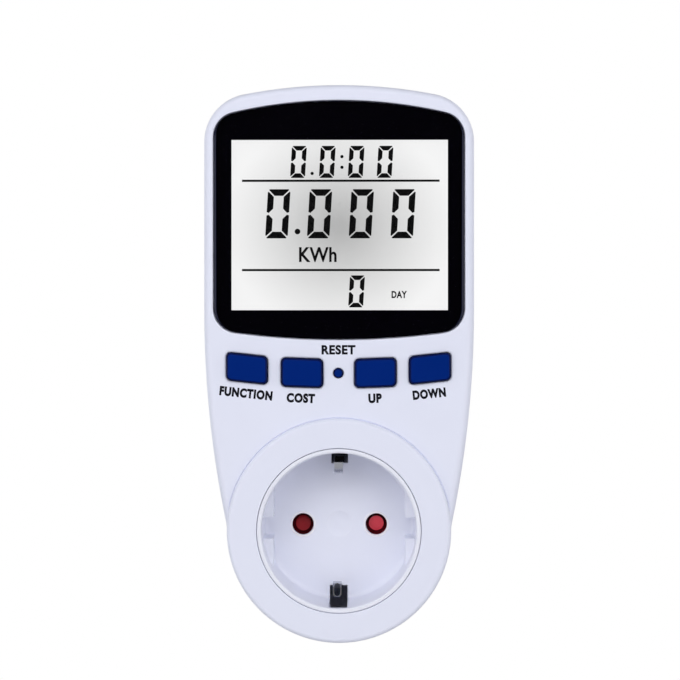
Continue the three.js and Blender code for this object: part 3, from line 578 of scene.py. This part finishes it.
def front_shell():
    end = SEAM_Y - SEAM_GAP
    skin = loft(rounded_front(body_outline, FRONT_Y, FRONT_ROUND) + [
        (end - SEAM_GROOVE, body_outline(0)),
        (end, body_outline(SEAM_GROOVE)),
    ])
    edge = quarter((TOWER_RADIUS - TOWER_ROUND, RIM_Y + TOWER_ROUND), TOWER_ROUND, -90, 0)
    tower = turned([
        (INSERT_RADIUS - 0.5, RIM_Y), *edge,
        (TOWER_RADIUS, end - SEAM_GROOVE), (TOWER_RADIUS - SEAM_GROOVE, end),
    ], steps=160)
    hollow = prism(body_outline(WALL), FRONT_Y + WALL, SEAM_Y + PAST)
    tower_hollow = rod(TOWER_RADIUS - WALL, (RIM_Y + WALL, SEAM_Y + PAST), steps=96)
    join(skin, tower)
    cut(skin, hollow, tower_hollow)

    display_wall = prism(lens_outline(-DISPLAY_WALL), FRONT_Y + WALL - BITE, PAD_BACK_Y)
    tube = rod(INSERT_RADIUS + WALL, (RIM_Y + WALL - BITE, INSERT_TUBE_END_Y), steps=96)
    bosses = [
        rod(FRONT_BOSS_RADIUS, (FRONT_Y + WALL - BITE, SEAM_Y - 0.1), place) for place in HOUSING_BOSSES
    ]
    posts = [rod(POST_RADIUS, (PAD_BACK_Y - BITE, POST_END_Y), place) for place in DISPLAY_POSTS]
    join(skin, display_wall, tube, *bosses, *posts)

    well = rounded_cutter(
        lambda m: circle(INSERT_RADIUS + m, steps=128), INSERT_SLACK, WELL_ROUND, RIM_Y, RIM_Y + 20,
    )
    lens_opening = rounded_cutter(lambda m: lens_outline(-m), 0, LENS_OPENING_ROUND, FRONT_Y, LEDGE_Y)
    window = block(
        (-LEDGE_OPENING_HALF, LEDGE_OPENING_HALF), (FRONT_Y, PAD_BACK_Y + PAST),
        (WINDOW_Z[0] - LEDGE_MARGIN, WINDOW_Z[1] + LEDGE_MARGIN),
    )
    behind = FRONT_Y + WALL + PAST
    keys = [
        rounded_cutter(lambda m, k=key: key_outline(k, m), KEY_SLACK, KEY_OPENING_ROUND, FRONT_Y, behind)
        for key in KEYS.values()
    ]
    reset_at = (RESET["x"], RESET["z"])
    reset = rounded_cutter(
        lambda m: circle(RESET["radius"] + m, reset_at, 40),
        KEY_SLACK, RESET_OPENING_ROUND, FRONT_Y, behind,
    )
    screw_holes = [
        rod(SCREW_HOLE, (SEAM_Y - SCREW_HOLE_DEPTH, SEAM_Y + PAST), place, 16) for place in HOUSING_BOSSES
    ]
    foot_radius = TOWER_RADIUS - 0.02
    foot = hoop([
        (foot_radius, FRONT_Y - 0.2), (TOWER_RADIUS + FOOT_GROOVE, FRONT_Y - 0.2),
        (foot_radius, FRONT_Y + FOOT_GROOVE_DEPTH),
    ], steps=160)
    notches = [
        block(
            EARTH_SLOT_X[side], (RIM_Y + WALL + 0.2, SEAM_Y),
            sorted((INSERT_RADIUS * side, NOTCH_REACH * side)),
        )
        for side in SIDES
    ]
    cut(skin, well, lens_opening, window, *keys, reset, *screw_holes, foot, *notches)
    dress(skin, "front_shell", SHELL, replaces=["front_housing"])


def flared_hole(radius, edge_radius, y0, y1, edge, place):
    """A cutter for a round hole whose edge at y1 is chamfered by edge on both sides of the surface."""
    return loft([
        (y0, circle(radius, place, 32)),
        (y1 - edge, circle(radius, place, 32)),
        (y1 + edge, circle(edge_radius, place, 32)),
    ])


def rear_shell():
    start = SEAM_Y + SEAM_GAP
    rings = [(start, body_outline(SEAM_GROOVE)), (start + SEAM_GROOVE, body_outline(0))]
    steps = 8
    for i in range(steps + 1):
        a = math.pi / 2 * i / steps
        rings.append((
            REAR_Y - REAR_ROUND * (1 - math.sin(a)), body_outline(REAR_ROUND * (1 - math.cos(a))),
        ))
    skin = loft(rings)
    plug = turned([
        (PLUG_RADIUS, REAR_Y - 1), (PLUG_RADIUS, REAR_Y),
        *quarter((PLUG_RADIUS - 1, -1), 1, 0, 90),
    ], steps=128)
    beyond = PLUG_RADIUS + PAST
    for side in SIDES:
        flat = sorted((PLUG_FLAT * side, beyond * side))
        groove = sorted(((PLUG_FLAT - 1) * side, beyond * side))
        cut(
            plug,
            block(flat, (REAR_Y, PAST), (-PLUG_FLAT_HALF, PLUG_FLAT_HALF)),
            block(groove, (REAR_Y + 2, PAST), (-GROOVE_HALF, GROOVE_HALF)),
            block((-PLUG_NOTCH_HALF, PLUG_NOTCH_HALF), (REAR_Y, PAST), flat),
        )
    inside = REAR_Y - WALL
    hollow = prism(body_outline(WALL), SEAM_Y - PAST, inside)
    plug_hollow = combine(
        rod(PLUG_HOLLOW_RADIUS, (inside - PAST, -PLUG_END_WALL), steps=64), "INTERSECT",
        [block((-PLUG_HOLLOW_HALF, PLUG_HOLLOW_HALF), (REAR_Y - 5, 0), (-20, 20))],
    )
    join(skin, plug)
    cut(skin, hollow, plug_hollow)
    join(skin, *[rod(REAR_BOSS_RADIUS, (SEAM_Y + 0.1, inside + BITE), place) for place in HOUSING_BOSSES])
    counterbores = [
        flared_hole(COUNTERBORE_RADIUS, COUNTERBORE_MOUTH, COUNTERBORE_Y, REAR_Y, 0.3, place)
        for place in HOUSING_BOSSES
    ]
    holes = [rod(SCREW_HOLE, (SEAM_Y - PAST, COUNTERBORE_Y + 1), place, 16) for place in HOUSING_BOSSES]
    pins = [
        rod(PIN_RADIUS + GAP, (-PLUG_END_WALL - PAST, PAST), (side * PIN_SPACING / 2, 0)) for side in SIDES
    ]
    earth_hole = flared_hole(
        EARTH_HOLE_RADIUS, EARTH_HOLE_MOUTH, -PLUG_END_WALL - PAST, 0, 0.4, (0, EARTH_HOLE_Z),
    )
    slots = [
        block(
            (-STRIP_SLOT_HALF, STRIP_SLOT_HALF), (inside - PAST, REAR_Y + 0.1),
            sorted(z * side for z in STRIP_SLOT_Z),
        )
        for side in SIDES
    ]
    cut(skin, *counterbores, *holes, *pins, earth_hole, *slots)
    dress(skin, "rear_shell", SHELL, replaces=["rear_housing"])


def outlet_cup():
    flange = (INSERT_FLANGE_Y, INSERT_FLANGE_Y + 2)
    cup = turned([
        (INSERT_RADIUS - 0.15, RIM_Y), (INSERT_RADIUS, RIM_Y + 0.15), (INSERT_RADIUS, flange[0]),
        (INSERT_FLANGE, flange[0]), (INSERT_FLANGE, flange[1]),
        (INSERT_RADIUS, flange[1]), (INSERT_RADIUS, FLOOR_BACK_Y),
    ], steps=128)
    rim = quarter((WELL_RADIUS + 0.5, RIM_Y + 0.5), 0.5, -90, -180)
    floor_edge = quarter((WELL_RADIUS - 1.2, WELL_FLOOR_Y - 1.2), 1.2, 0, 90)
    bore = turned([
        (WELL_RADIUS + 0.5, RIM_Y - 1), *rim, *floor_edge, (3.5, WELL_FLOOR_Y),
        (3.3, WELL_FLOOR_Y + 0.12), (1, WELL_FLOOR_Y + 0.12),
    ], steps=128)
    cut(cup, bore)
    for side in SIDES:
        pad = combine(
            rod(WELL_RADIUS + 0.3, (PAD_FRONT_Y, WELL_FLOOR_Y + 0.2), steps=128), "INTERSECT",
            [block(sorted((PAD_HALF * side, 25 * side)), (RIM_Y, 0), (-30, 30))],
        )
        cut(pad, block((-30, 30), (RIM_Y, 0), (-GROOVE_HALF, GROOVE_HALF)))
        join(cup, pad)
    root = FLOOR_BACK_Y - BITE
    posts = [rod(1.5, (root, SHUTTER_POST_END_Y), (0, side * SHUTTER_POST_Z), 24) for side in SIDES]
    pivot = rod(SHUTTER_PIVOT_RADIUS, (root, SHUTTER_PIVOT_END_Y), (0, 0), 24)
    join(cup, pivot, *posts)
    behind = FLOOR_BACK_Y + PAST
    for side in SIDES:
        at = (side * PIN_SPACING / 2, 0)
        cut(
            cup,
            block(
                EARTH_SLOT_X[side], (RIM_Y + EARTH_SLOT_START, behind),
                sorted((EARTH_SLOT_INNER * side, (INSERT_RADIUS + PAST) * side)),
            ),
            rounded_cutter(lambda m, a=at: circle(PIN_HOLE + m, a, 48), 0, 0.3, WELL_FLOOR_Y, behind),
            rod(PIN_RECESS, (WELL_FLOOR_Y + PIN_HOLE_DEPTH, behind), at, 48),
        )
    dress(cup, "outlet_cup", CUP, replaces=["socket_insert"])
    for side, place in ((-1, "left"), (1, "right")):
        section = quarter((PIN_HOLE + 0.32, WELL_FLOOR_Y + 0.05), 0.26, -180, 0)
        bead = hoop(section, (side * PIN_SPACING / 2, 0))
        # The bead is dressed in the whiter painted highlight
        dress(bead, f"pin_hole_bead_{place}", BEAD_PAINTED_HIGHLIGHT)


# ---------------------------------------------------------------- display

def lens():
    """Flat window whose long side edges have a wide bevel that fades out round the corners."""
    straight_low = LENS_BOTTOM + LENS_CORNER
    straight_high = LENS_TOP - LENS_CORNER - 4
    middle = (LENS_TOP + LENS_BOTTOM) / 2
    edge = lens_outline(LENS_GAP)
    front = []
    for x, z in edge:
        bevel = LENS_BEVEL
        if abs(x) > LENS_SIDE_START:
            past = max(straight_low - z, z - straight_high, 0) / LENS_CORNER
            bevel += (LENS_SIDE_BEVEL - LENS_BEVEL) * max(1 - past, 0)
        reach = 1 - bevel / LENS_HALF_WIDTH
        front.append((x * reach, middle + (z - middle) * (1 - LENS_BEVEL / middle)))
    piece = loft([(LENS_FRONT_Y, front), (LENS_FRONT_Y + 0.4, edge), (LENS_BACK_Y, edge)])
    dress(piece, "lens", CLEAR, replaces=["display_lens"])
    piece.data.materials.append(LENS_EDGE_PAINTED_SHEEN)
    # The bevel faces get the painted sheen
    for face in piece.data.polygons:
        if abs(face.normal.y) < 0.9:
            face.material_index = 1


def mask():
    piece = prism(lens_outline(LENS_GAP), LENS_BACK_Y + 0.05, LENS_BACK_Y + 0.25)
    cut(piece, block(WINDOW_X, (LENS_BACK_Y - 1, LENS_BACK_Y + 1), WINDOW_Z))
    dress(piece, "mask_print", MASK, replaces=["lens_mask"])


SLANT = math.tan(math.radians(3.4))


def zero_digit(left, bottom, width, height, stroke):
    """The six bars of a slanted seven-segment zero, each a closed outline with mitred ends."""
    middle = height / 2
    left_end = [(1.06, 1.0), (0.18, 0.12), (0.28, 0.0)]
    cap = [(x * stroke, height - z * stroke) for x, z in left_end]
    cap += [(width - x * stroke, height - z * stroke) for x, z in reversed(left_end)]
    upright = [
        (0, height - 0.46 * stroke), (0.12 * stroke, height - 0.36 * stroke),
        (0.96 * stroke, height - 1.16 * stroke), (0.96 * stroke, middle + 0.78 * stroke),
        (0.32 * stroke, middle + 0.13 * stroke), (0, middle + 0.26 * stroke),
    ]

    def across(bar):
        return [(width - x, z) for x, z in bar]

    def below(bar):
        return [(x, height - z) for x, z in bar]

    bars = [cap, below(cap), upright, below(upright), across(upright), below(across(upright))]
    return [[(left + x + SLANT * z, bottom + z) for x, z in bar] for bar in bars]


def flat_shapes(name, outlines, plane_y):
    """Thin raised shapes on a plane that faces -Y, as one piece."""
    points = []
    faces = []
    for outline in outlines:
        first = len(points)
        count = len(outline)
        points += [(x, plane_y - MARK_THICKNESS, z) for x, z in outline]
        points += [(x, plane_y, z) for x, z in outline]
        faces.append(tuple(range(first, first + count)))
        faces.append(tuple(range(first + count, first + 2 * count)))
        for i in range(count):
            j = (i + 1) % count
            faces.append((first + i, first + j, first + count + j, first + count + i))
    return mesh_object(name, points, faces)


def bar(x0, x1, z, thickness):
    """The outline of a level line."""
    half = thickness / 2
    return [(x0, z - half), (x1, z - half), (x1, z + half), (x0, z + half)]


def display_marks():
    big = dict(width=5.7, height=12.44, stroke=1.67)
    small = dict(width=3.78, height=8.1, stroke=1.17)
    outlines = []
    for i in range(4):
        outlines += zero_digit(-18.75 + 10.57 * i, 73.42, **big)
        outlines += zero_digit(-12.43 + 7.3 * i, 88.72, **small)
    outlines += zero_digit(2.27, 55.95, **small)
    outlines += [bar(-24.6, 25.4, z, 0.56) for z in (88.0, 65.4)]
    outlines += [circle(0.42, place, 24) for place in ((-6.85, 89.85), (0.7, 94.1), (0.7, 91.4))]
    outlines += [circle(0.72, (-10.55, 75.15), 32)]
    piece = flat_shapes("display_segments", outlines, GLASS_Y - 0.01)
    dress(piece, "display_segments", SEGMENT)


def words(name, text, centre, width, height, front_y, look, tilt=0.0, weight=0.06):
    """Printed words fitted to a width and a cap height, in the built-in plain font."""
    curve = bpy.data.curves.new(name, "FONT")
    curve.body = text
    curve.offset = weight
    curve.space_character = 1 + 2.5 * weight
    curve.resolution_u = 6
    maker = new_object(name + "_maker", curve)
    bpy.context.view_layer.update()
    graph = bpy.context.evaluated_depsgraph_get()
    mesh = bpy.data.meshes.new_from_object(maker.evaluated_get(graph))
    bpy.data.objects.remove(maker)
    xs = [v.co.x for v in mesh.vertices]
    ys = [v.co.y for v in mesh.vertices]
    fit = Matrix.Diagonal((width / (max(xs) - min(xs)), height / (max(ys) - min(ys)), 1, 1))
    middle = Matrix.Translation((-(max(xs) + min(xs)) / 2, -(max(ys) + min(ys)) / 2, 0))
    stand = Matrix.Rotation(math.pi / 2, 4, "X")
    turn = Matrix.Rotation(-math.radians(tilt), 4, "Y")
    place = Matrix.Translation((centre[0], front_y, centre[1]))
    mesh.transform(Matrix.Scale(MM, 4) @ place @ turn @ stand @ fit @ middle)
    piece = new_object(name, mesh)
    thicken = piece.modifiers.new("ink", "SOLIDIFY")
    thicken.thickness = INK_THICKNESS * MM
    thicken.offset = 0
    dress(piece, name, look)


def lettering():
    glass = GLASS_Y - 0.02
    words("word_energy", "KWh", (-5.4, 69.3), 9.5, 3.8, glass, SEGMENT, weight=0.025)
    words("word_day", "DAY", (15.2, 59.2), 3.9, 1.8, glass, SEGMENT, weight=0.04)
    legends = [
        ("RESET", (-0.1, 45.25), 8.5, 0, 0.045),
        ("FUNCTION", (-23.3, 34.35), 13.3, -6, 0.06),
        ("COST", (-9.55, 33.15), 7.1, -2, 0.06),
        ("UP", (9.05, 33.1), 3.35, 2, 0.06),
        ("DOWN", (22.6, 34.25), 8.3, 6, 0.06),
    ]
    for text, centre, width, tilt, weight in legends:
        name = f"legend_{text.lower()}"
        face = FRONT_Y - 0.01
        words(name, text, centre, width, LEGEND_HEIGHT, face, INK, tilt, weight)


# ---------------------------------------------------------------- keys

def paint_edge_shade(cap):
    """Gives a key's rounded edges and sides a darker blue than its flat face: painted shade, where they
    turn away from the light.
    """
    cap.data.materials.append(KEY_EDGE_PAINTED_SHADE)
    for face in cap.data.polygons:
        if face.normal.y > -0.95:
            face.material_index = 1


def key_cap(name, key):
    flange_back = KEY_FLANGE_Y + KEY_FLANGE_THICKNESS
    rings = rounded_front(lambda inset: key_outline(key, -inset), KEY_FRONT_Y, KEY_ROUND, 5)
    rings += [
        (KEY_FLANGE_Y, key_outline(key, 0)), (KEY_FLANGE_Y, key_outline(key, KEY_FLANGE)),
        (flange_back, key_outline(key, KEY_FLANGE)),
    ]
    cap = loft(rings)
    join(cap, rod(STEM_RADIUS, (KEY_FLANGE_Y + 0.5, STEM_END_Y), (key["x"], key["z"]), 32))
    dress(
        cap, f"{name}_cap", KEY_BLUE, body=f"{name}_button", replaces=[f"{name}_key"],
    )
    paint_edge_shade(cap)


def reset_cap():
    radius = RESET["radius"]
    flange_back = KEY_FLANGE_Y + KEY_FLANGE_THICKNESS
    cap = turned([
        (0.05, RESET_FRONT_Y),
        *quarter((radius - RESET_ROUND, RESET_FRONT_Y + RESET_ROUND), RESET_ROUND, -90, 0),
        (radius, KEY_FLANGE_Y), (RESET_FLANGE, KEY_FLANGE_Y), (RESET_FLANGE, flange_back),
        (STEM_RADIUS, flange_back), (STEM_RADIUS, STEM_END_Y),
    ], centre=(RESET["x"], RESET["z"]), steps=48)
    dress(cap, "reset_cap", KEY_BLUE, body="reset_button", replaces=["reset_key"])
    paint_edge_shade(cap)


# ---------------------------------------------------------------- metal

def bent_strip(name, line, thickness, half_width, x=0.0, smooth=3):
    """A sheet-metal strip bent in the Y-Z plane, its bends smoothed."""
    for _ in range(smooth):
        finer = [line[0]]
        for a, b in zip(line, line[1:]):
            finer.append((0.75 * a[0] + 0.25 * b[0], 0.75 * a[1] + 0.25 * b[1]))
            finer.append((0.25 * a[0] + 0.75 * b[0], 0.25 * a[1] + 0.75 * b[1]))
        line = finer + [line[-1]]
    sides = []
    for offset in (thickness / 2, -thickness / 2):
        side = []
        for i, point in enumerate(line):
            before = Vector(line[max(i - 1, 0)])
            after = Vector(line[min(i + 1, len(line) - 1)])
            along = (after - before).normalized()
            side.append((point[0] - along.y * offset, point[1] + along.x * offset))
        sides.append(side)
    outline = sides[0] + sides[1][::-1]
    count = len(outline)
    points = [(x + end * half_width, y, z) for end in SIDES for y, z in outline]
    faces = [tuple(range(count)), tuple(range(count, 2 * count))]
    faces += [(i, (i + 1) % count, count + (i + 1) % count, count + i) for i in range(count)]
    return mesh_object(name, points, faces)


def round_tip(clip, x):
    """Rounds the lower clip's curled end and opens its middle, which leaves a horseshoe."""
    lip_y = (-53, -48)
    end_z = -17.25
    slot_top_z = -14.6
    wire = 0.38
    centre = (x, end_z + CLIP_HALF_WIDTH)
    below = block((x - 2, x + 2), lip_y, (-19, centre[1]))
    cut(below, rod(CLIP_HALF_WIDTH, (lip_y[0] - PAST, lip_y[1] + PAST), centre, 48))
    half = CLIP_HALF_WIDTH - wire
    slot = outline_of(
        arc((x, slot_top_z), half, 0, math.pi, 12),
        arc((x, centre[1]), half, math.pi, 2 * math.pi, 16),
    )
    cut(clip, below, prism(slot, *lip_y))


def earth_parts():
    line = [(-25, 16.5), (-40.4, 16.5), (-43, 15), (-46, 13.9), (-47.7, 13.8), (-49.2, 14.5), (-51, 17)]
    for side, place, x in ((1, "top", -0.15), (-1, "bottom", -0.5)):
        clip = bent_strip("clip", [(y, z * side) for y, z in line], 0.5, CLIP_HALF_WIDTH, x)
        if place == "bottom":
            round_tip(clip, x)
        dress(
            clip, f"earth_clip_{place}", NICKEL, body=f"earth_clip_{place}",
            replaces=[f"socket_earth_clip_{place}"], bevel=0.1,
        )
        clip.data.materials.append(CLIP_DEEP_PAINTED_SHADE)
        # Faces deep in the slot get the painted shade
        for face in clip.data.polygons:
            if face.center.y > -41 * MM:
                face.material_index = 1
    half = [(-1.5, 17.2), (-2.5, 17.3), (-9, 17.8), (-15, 17.3), (-23.8, 17.3)]
    route = half + [(y, -z) for y, z in reversed(half)]
    strap = bent_strip("strap", route, 0.8, 2.5, smooth=1)
    dress(strap, "earth_strip", NICKEL, replaces=["earth_strap"], bevel=0.15)


def ramp_cutter(at_x, side):
    """A wedge in front of one blade, which leaves the blade's front sloping up or down."""
    edges = [(SHUTTER_FRONT_Y + 0.65 - side * SHUTTER_SLOPE * z, z) for z in (-4.5, 4.5)]
    (y0, z0), (y1, z1) = edges
    xs = (at_x - 4.75, at_x + 4.75)
    side_face = [(y0 - 3, z0), (y0, z0), (y1, z1), (y1 - 3, z1)]
    corners = [(x, y, z) for x in xs for y, z in side_face]
    faces = [(0, 1, 2, 3), (4, 5, 6, 7)]
    faces += [(i, (i + 1) % 4, 4 + (i + 1) % 4, 4 + i) for i in range(4)]
    return mesh_object("tool", corners, faces)


def shutter():
    """The red shutter: two blades on a hub, with a sloping front and a ring groove at each pin's place. The
    grooves and the left blade are painted a darker red, as shade.
    """
    sweep = math.asin(SHUTTER_HALF_WIDTH / SHUTTER_REACH)
    front = SHUTTER_FRONT_Y
    back = SHUTTER_BACK_Y
    blade = outline_of(
        arc((0, 0), SHUTTER_REACH, -sweep, sweep, 12),
        arc((0, 0), SHUTTER_REACH, math.pi - sweep, math.pi + sweep, 12),
    )
    piece = prism(blade, front, back)
    ramps = []
    grooves = []
    for side in SIDES:
        at = (side * PIN_SPACING / 2, 0)
        ramps.append(ramp_cutter(at[0], side))
        ring = rod(PIN_HOLE + 0.25, (front - 1, back - 0.25), at, 48)
        cut(ring, rod(PIN_HOLE - 0.8, (front - 2, back + 1), at, 48))
        grooves.append(ring)
    cut(piece, *ramps)
    peg = rod(0.6, (back - BITE, back + 0.6), (-6.5, 0), 16)
    join(piece, rod(SHUTTER_HUB, (front, back), steps=64), peg)
    cut(piece, rod(SHUTTER_PIVOT_RADIUS + GAP, (FLOOR_BACK_Y, back + 1), steps=48), *grooves)
    dress(piece, "shutter", SHUTTER, body="shutter", replaces=["safety_shutter"])
    piece.data.materials.append(SHUTTER_GROOVE_PAINTED_SHADE)
    piece.data.materials.append(SHUTTER_LEFT_PAINTED_SHADE)
    for face in piece.data.polygons:
        x, y, z = face.center / MM
        # Faces down in each ring groove get the painted shade of the groove
        in_shaded_groove = math.hypot(abs(x) - PIN_SPACING / 2, z) < PIN_HOLE + 0.3
        if in_shaded_groove and front + 0.75 < y < back - 0.1:
            face.material_index = 1
        # The left blade gets the painted shade
        elif x < -SHUTTER_HUB:
            face.material_index = 2


def plug_pins():
    for side, place in ((-1, "left"), (1, "right")):
        pin = turned([
            (1.6, -13), (1.6, -5.2), (4, -5.2), (4, -3.2), (PIN_RADIUS, -3.2),
            *quarter((PIN_RADIUS - 1.4, PIN_LENGTH - 1.4), 1.4, 0, 90, 10),
        ], centre=(side * PIN_SPACING / 2, 0), steps=64)
        dress(pin, f"pin_{place}", NICKEL, replaces=[f"plug_pin_{place}"])


def housing_screws():
    for i, place in enumerate(HOUSING_BOSSES, 1):
        seat = SCREW_SEAT_Y
        thread = []
        for turn in range(20):
            y = seat - 14.6 + turn * 0.6
            thread += [(1.05, y), (1.3, y + 0.3)]
        screw = turned([
            (0.4, seat - 16), (1.0, seat - 15), *thread, (1.1, seat), (2.7, seat),
            *quarter((1.7, seat + 0.8), 1.0, 0, 90), (0.3, seat + 1.8),
        ], centre=place, steps=32)
        cross = [
            block((place[0] - a, place[0] + a), (seat + 0.7, seat + 3), (place[1] - b, place[1] + b))
            for a, b in ((1.3, 0.28), (0.28, 1.3))
        ]
        cut(screw, *cross)
        dress(screw, f"shell_screw_{i}", STEEL, replaces=[f"housing_screw_{i}"])


# ---------------------------------------------------------------- pieces that keep their CAD shape

CAD_LOOKS = {
    "lcd_panel": LCD_GLASS_PAINTED_GLOW,
    "lcd_frame": INNER_WHITE,
    "backlight_panel": INNER_WHITE,
    "zebra_strip": ZEBRA,
    "display_board": BOARD,
    "power_board": BOARD,
    "controller_chip": CHIP,
    "metering_chip": CHIP,
    "bridge_rectifier": CHIP,
    "board_link_header": CHIP,
    "crystal": STEEL,
    "x2_capacitor": CAPACITOR,
    "electrolytic_capacitor": SLEEVE,
    "varistor": VARISTOR,
    "shunt_resistor": RESISTANCE,
    "backup_battery": BATTERY,
    "socket_contact_left": BRASS,
    "socket_contact_right": BRASS,
    "earth_pin_receptacle": BRASS,
    "pin_retainer": INNER_WHITE,
    "contact_carrier": CARRIER,
    "shutter_spring": STEEL,
    "shutter_cover": INNER_WHITE,
    "display_screw_1": STEEL,
    "display_screw_2": STEEL,
    "live_in_wire": WIRE_BROWN,
    "live_out_wire": WIRE_BROWN,
    "neutral_in_wire": WIRE_BLUE,
    "neutral_out_wire": WIRE_BLUE,
}


def dress_cad_nodes():
    looks = dict(CAD_LOOKS)
    for name in [*KEYS, "reset"]:
        looks[f"{name}_switch"] = CHIP
        looks[f"{name}_plunger"] = PLUNGER
    for name, look in looks.items():
        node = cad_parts[name]
        node.data.materials.clear()
        node.data.materials.append(look)
        modifier = node.modifiers.new("edge", "BEVEL")
        modifier.width = 0.08 * MM
        modifier.segments = 2
        modifier.limit_method = "ANGLE"
        modifier.angle_limit = math.radians(40)
        modifier.harden_normals = True


# ---------------------------------------------------------------- studio

def show_pale(paint):
    """The floor as the camera sees it: pale grey that fades to white far out, and adds no light."""
    nodes = paint.node_tree.nodes
    links = paint.node_tree.links
    place = nodes.new("ShaderNodeTexCoord")
    distance = nodes.new("ShaderNodeVectorMath")
    distance.operation = "LENGTH"
    links.new(place.outputs["Object"], distance.inputs[0])
    fade = nodes.new("ShaderNodeMapRange")
    fade.interpolation_type = "SMOOTHSTEP"
    fade.inputs["From Min"].default_value = PALE_REACH[0]
    fade.inputs["From Max"].default_value = PALE_REACH[1]
    links.new(distance.outputs["Value"], fade.inputs["Value"])
    tone = nodes.new("ShaderNodeMix")
    tone.data_type = "RGBA"
    tone.inputs["A"].default_value = linear(*FLOOR_TONE)
    tone.inputs["B"].default_value = (1, 1, 1, 1)
    links.new(fade.outputs["Result"], tone.inputs["Factor"])
    path = nodes.new("ShaderNodeLightPath")
    even = nodes.new("ShaderNodeEmission")
    links.new(tone.outputs["Result"], even.inputs["Color"])
    choose = nodes.new("ShaderNodeMixShader")
    links.new(path.outputs["Is Camera Ray"], choose.inputs["Fac"])
    links.new(nodes["Principled BSDF"].outputs["BSDF"], choose.inputs[1])
    links.new(even.outputs["Emission"], choose.inputs[2])
    links.new(choose.outputs["Shader"], nodes["Material Output"].inputs["Surface"])


def camera():
    view = bpy.context.scene.view_settings
    view.view_transform = "Standard"
    view.look = "None"
    lens_data = bpy.data.cameras.new("camera")
    lens_data.lens = 96.5
    lens_data.sensor_width = 36
    lens_data.clip_start = 0.01
    eye = new_object("camera", lens_data)
    eye.location = EYE
    eye.rotation_euler = (math.pi / 2, 0, EYE_TURN)
    bpy.context.scene.camera = eye


def pale_floor():
    mesh = bpy.data.meshes.new("floor")
    corners = [(x * FLOOR_HALF, y * FLOOR_HALF, FLOOR_Z) for x, y in ((-1, -1), (1, -1), (1, 1), (-1, 1))]
    mesh.from_pydata(corners, [], [(0, 1, 2, 3)])
    floor = new_object("floor", mesh)
    paint = surface("floor_paint", linear(*FLOOR_TONE), 0.8, grain_size=4)
    show_pale(paint)
    floor.data.materials.append(paint)


def softbox():
    lamp = bpy.data.lights.new("softbox", "AREA")
    lamp.shape = "SQUARE"
    lamp.size = SOFTBOX_SIZE
    lamp.energy = SOFTBOX_POWER
    box = new_object("softbox", lamp)
    box.location = SOFTBOX
    box.visible_glossy = False
    aim = Vector(SOFTBOX_AIM) - box.location
    box.rotation_euler = aim.to_track_quat("-Z", "Y").to_euler()


def room_light():
    """Light from all round, by the angle between its direction and the user's side of the meter.

    It is strong from the user's side and from behind, weak from the sides and under a dark ceiling. A small
    dark patch straight in front of the meter keeps its flat window black as seen from there.
    """
    world = bpy.data.worlds.new("studio")
    bpy.context.scene.world = world
    world.use_nodes = True
    nodes = world.node_tree.nodes
    links = world.node_tree.links
    nodes.clear()
    output = nodes.new("ShaderNodeOutputWorld")
    choose = nodes.new("ShaderNodeMixShader")
    seen = nodes.new("ShaderNodeBackground")
    lit = nodes.new("ShaderNodeBackground")
    path = nodes.new("ShaderNodeLightPath")
    links.new(path.outputs["Is Camera Ray"], choose.inputs["Fac"])
    links.new(lit.outputs["Background"], choose.inputs[1])
    links.new(seen.outputs["Background"], choose.inputs[2])
    links.new(choose.outputs["Shader"], output.inputs["Surface"])
    seen.inputs["Color"].default_value = (1, 1, 1, 1)
    seen.inputs["Strength"].default_value = 1

    place = nodes.new("ShaderNodeTexCoord")
    facing = nodes.new("ShaderNodeVectorMath")
    facing.operation = "DOT_PRODUCT"
    facing.inputs[1].default_value = (0, -1, 0)
    links.new(place.outputs["Generated"], facing.inputs[0])
    spread = nodes.new("ShaderNodeMapRange")
    spread.inputs["From Min"].default_value = -1
    links.new(facing.outputs["Value"], spread.inputs["Value"])
    room = nodes.new("ShaderNodeValToRGB")
    stops = room.color_ramp.elements
    stops[0].position = 0.0
    stops[0].color = (1.25, 1.25, 1.25, 1)
    stops[1].position = 1.0
    stops[1].color = (0.02, 0.02, 0.02, 1)
    levels = {140: 1.2, 116: 0.95, 100: 0.5, 86: 0.5, 64: 1.35, 46: 1.6, 22: 1.6, 13: 0.02}
    for degrees, level in levels.items():
        stop = stops.new((1 + math.cos(math.radians(degrees))) / 2)
        stop.color = (level, level, level, 1)
    links.new(spread.outputs["Result"], room.inputs["Fac"])
    links.new(room.outputs["Color"], lit.inputs["Color"])

    split = nodes.new("ShaderNodeSeparateXYZ")
    links.new(place.outputs["Generated"], split.inputs["Vector"])
    ceiling = nodes.new("ShaderNodeMapRange")
    ceiling.interpolation_type = "SMOOTHSTEP"
    ceiling.inputs["From Min"].default_value = 0.3
    ceiling.inputs["From Max"].default_value = 0.8
    ceiling.inputs["To Min"].default_value = 1.0
    ceiling.inputs["To Max"].default_value = 0.1
    links.new(split.outputs["Z"], ceiling.inputs["Value"])
    links.new(ceiling.outputs["Result"], lit.inputs["Strength"])


front_shell()
rear_shell()
outlet_cup()
lens()
mask()
display_marks()
lettering()
for key_name, key_shape in KEYS.items():
    key_cap(key_name, key_shape)
reset_cap()
earth_parts()
shutter()
plug_pins()
housing_screws()
dress_cad_nodes()
camera()
pale_floor()
softbox()
room_light()
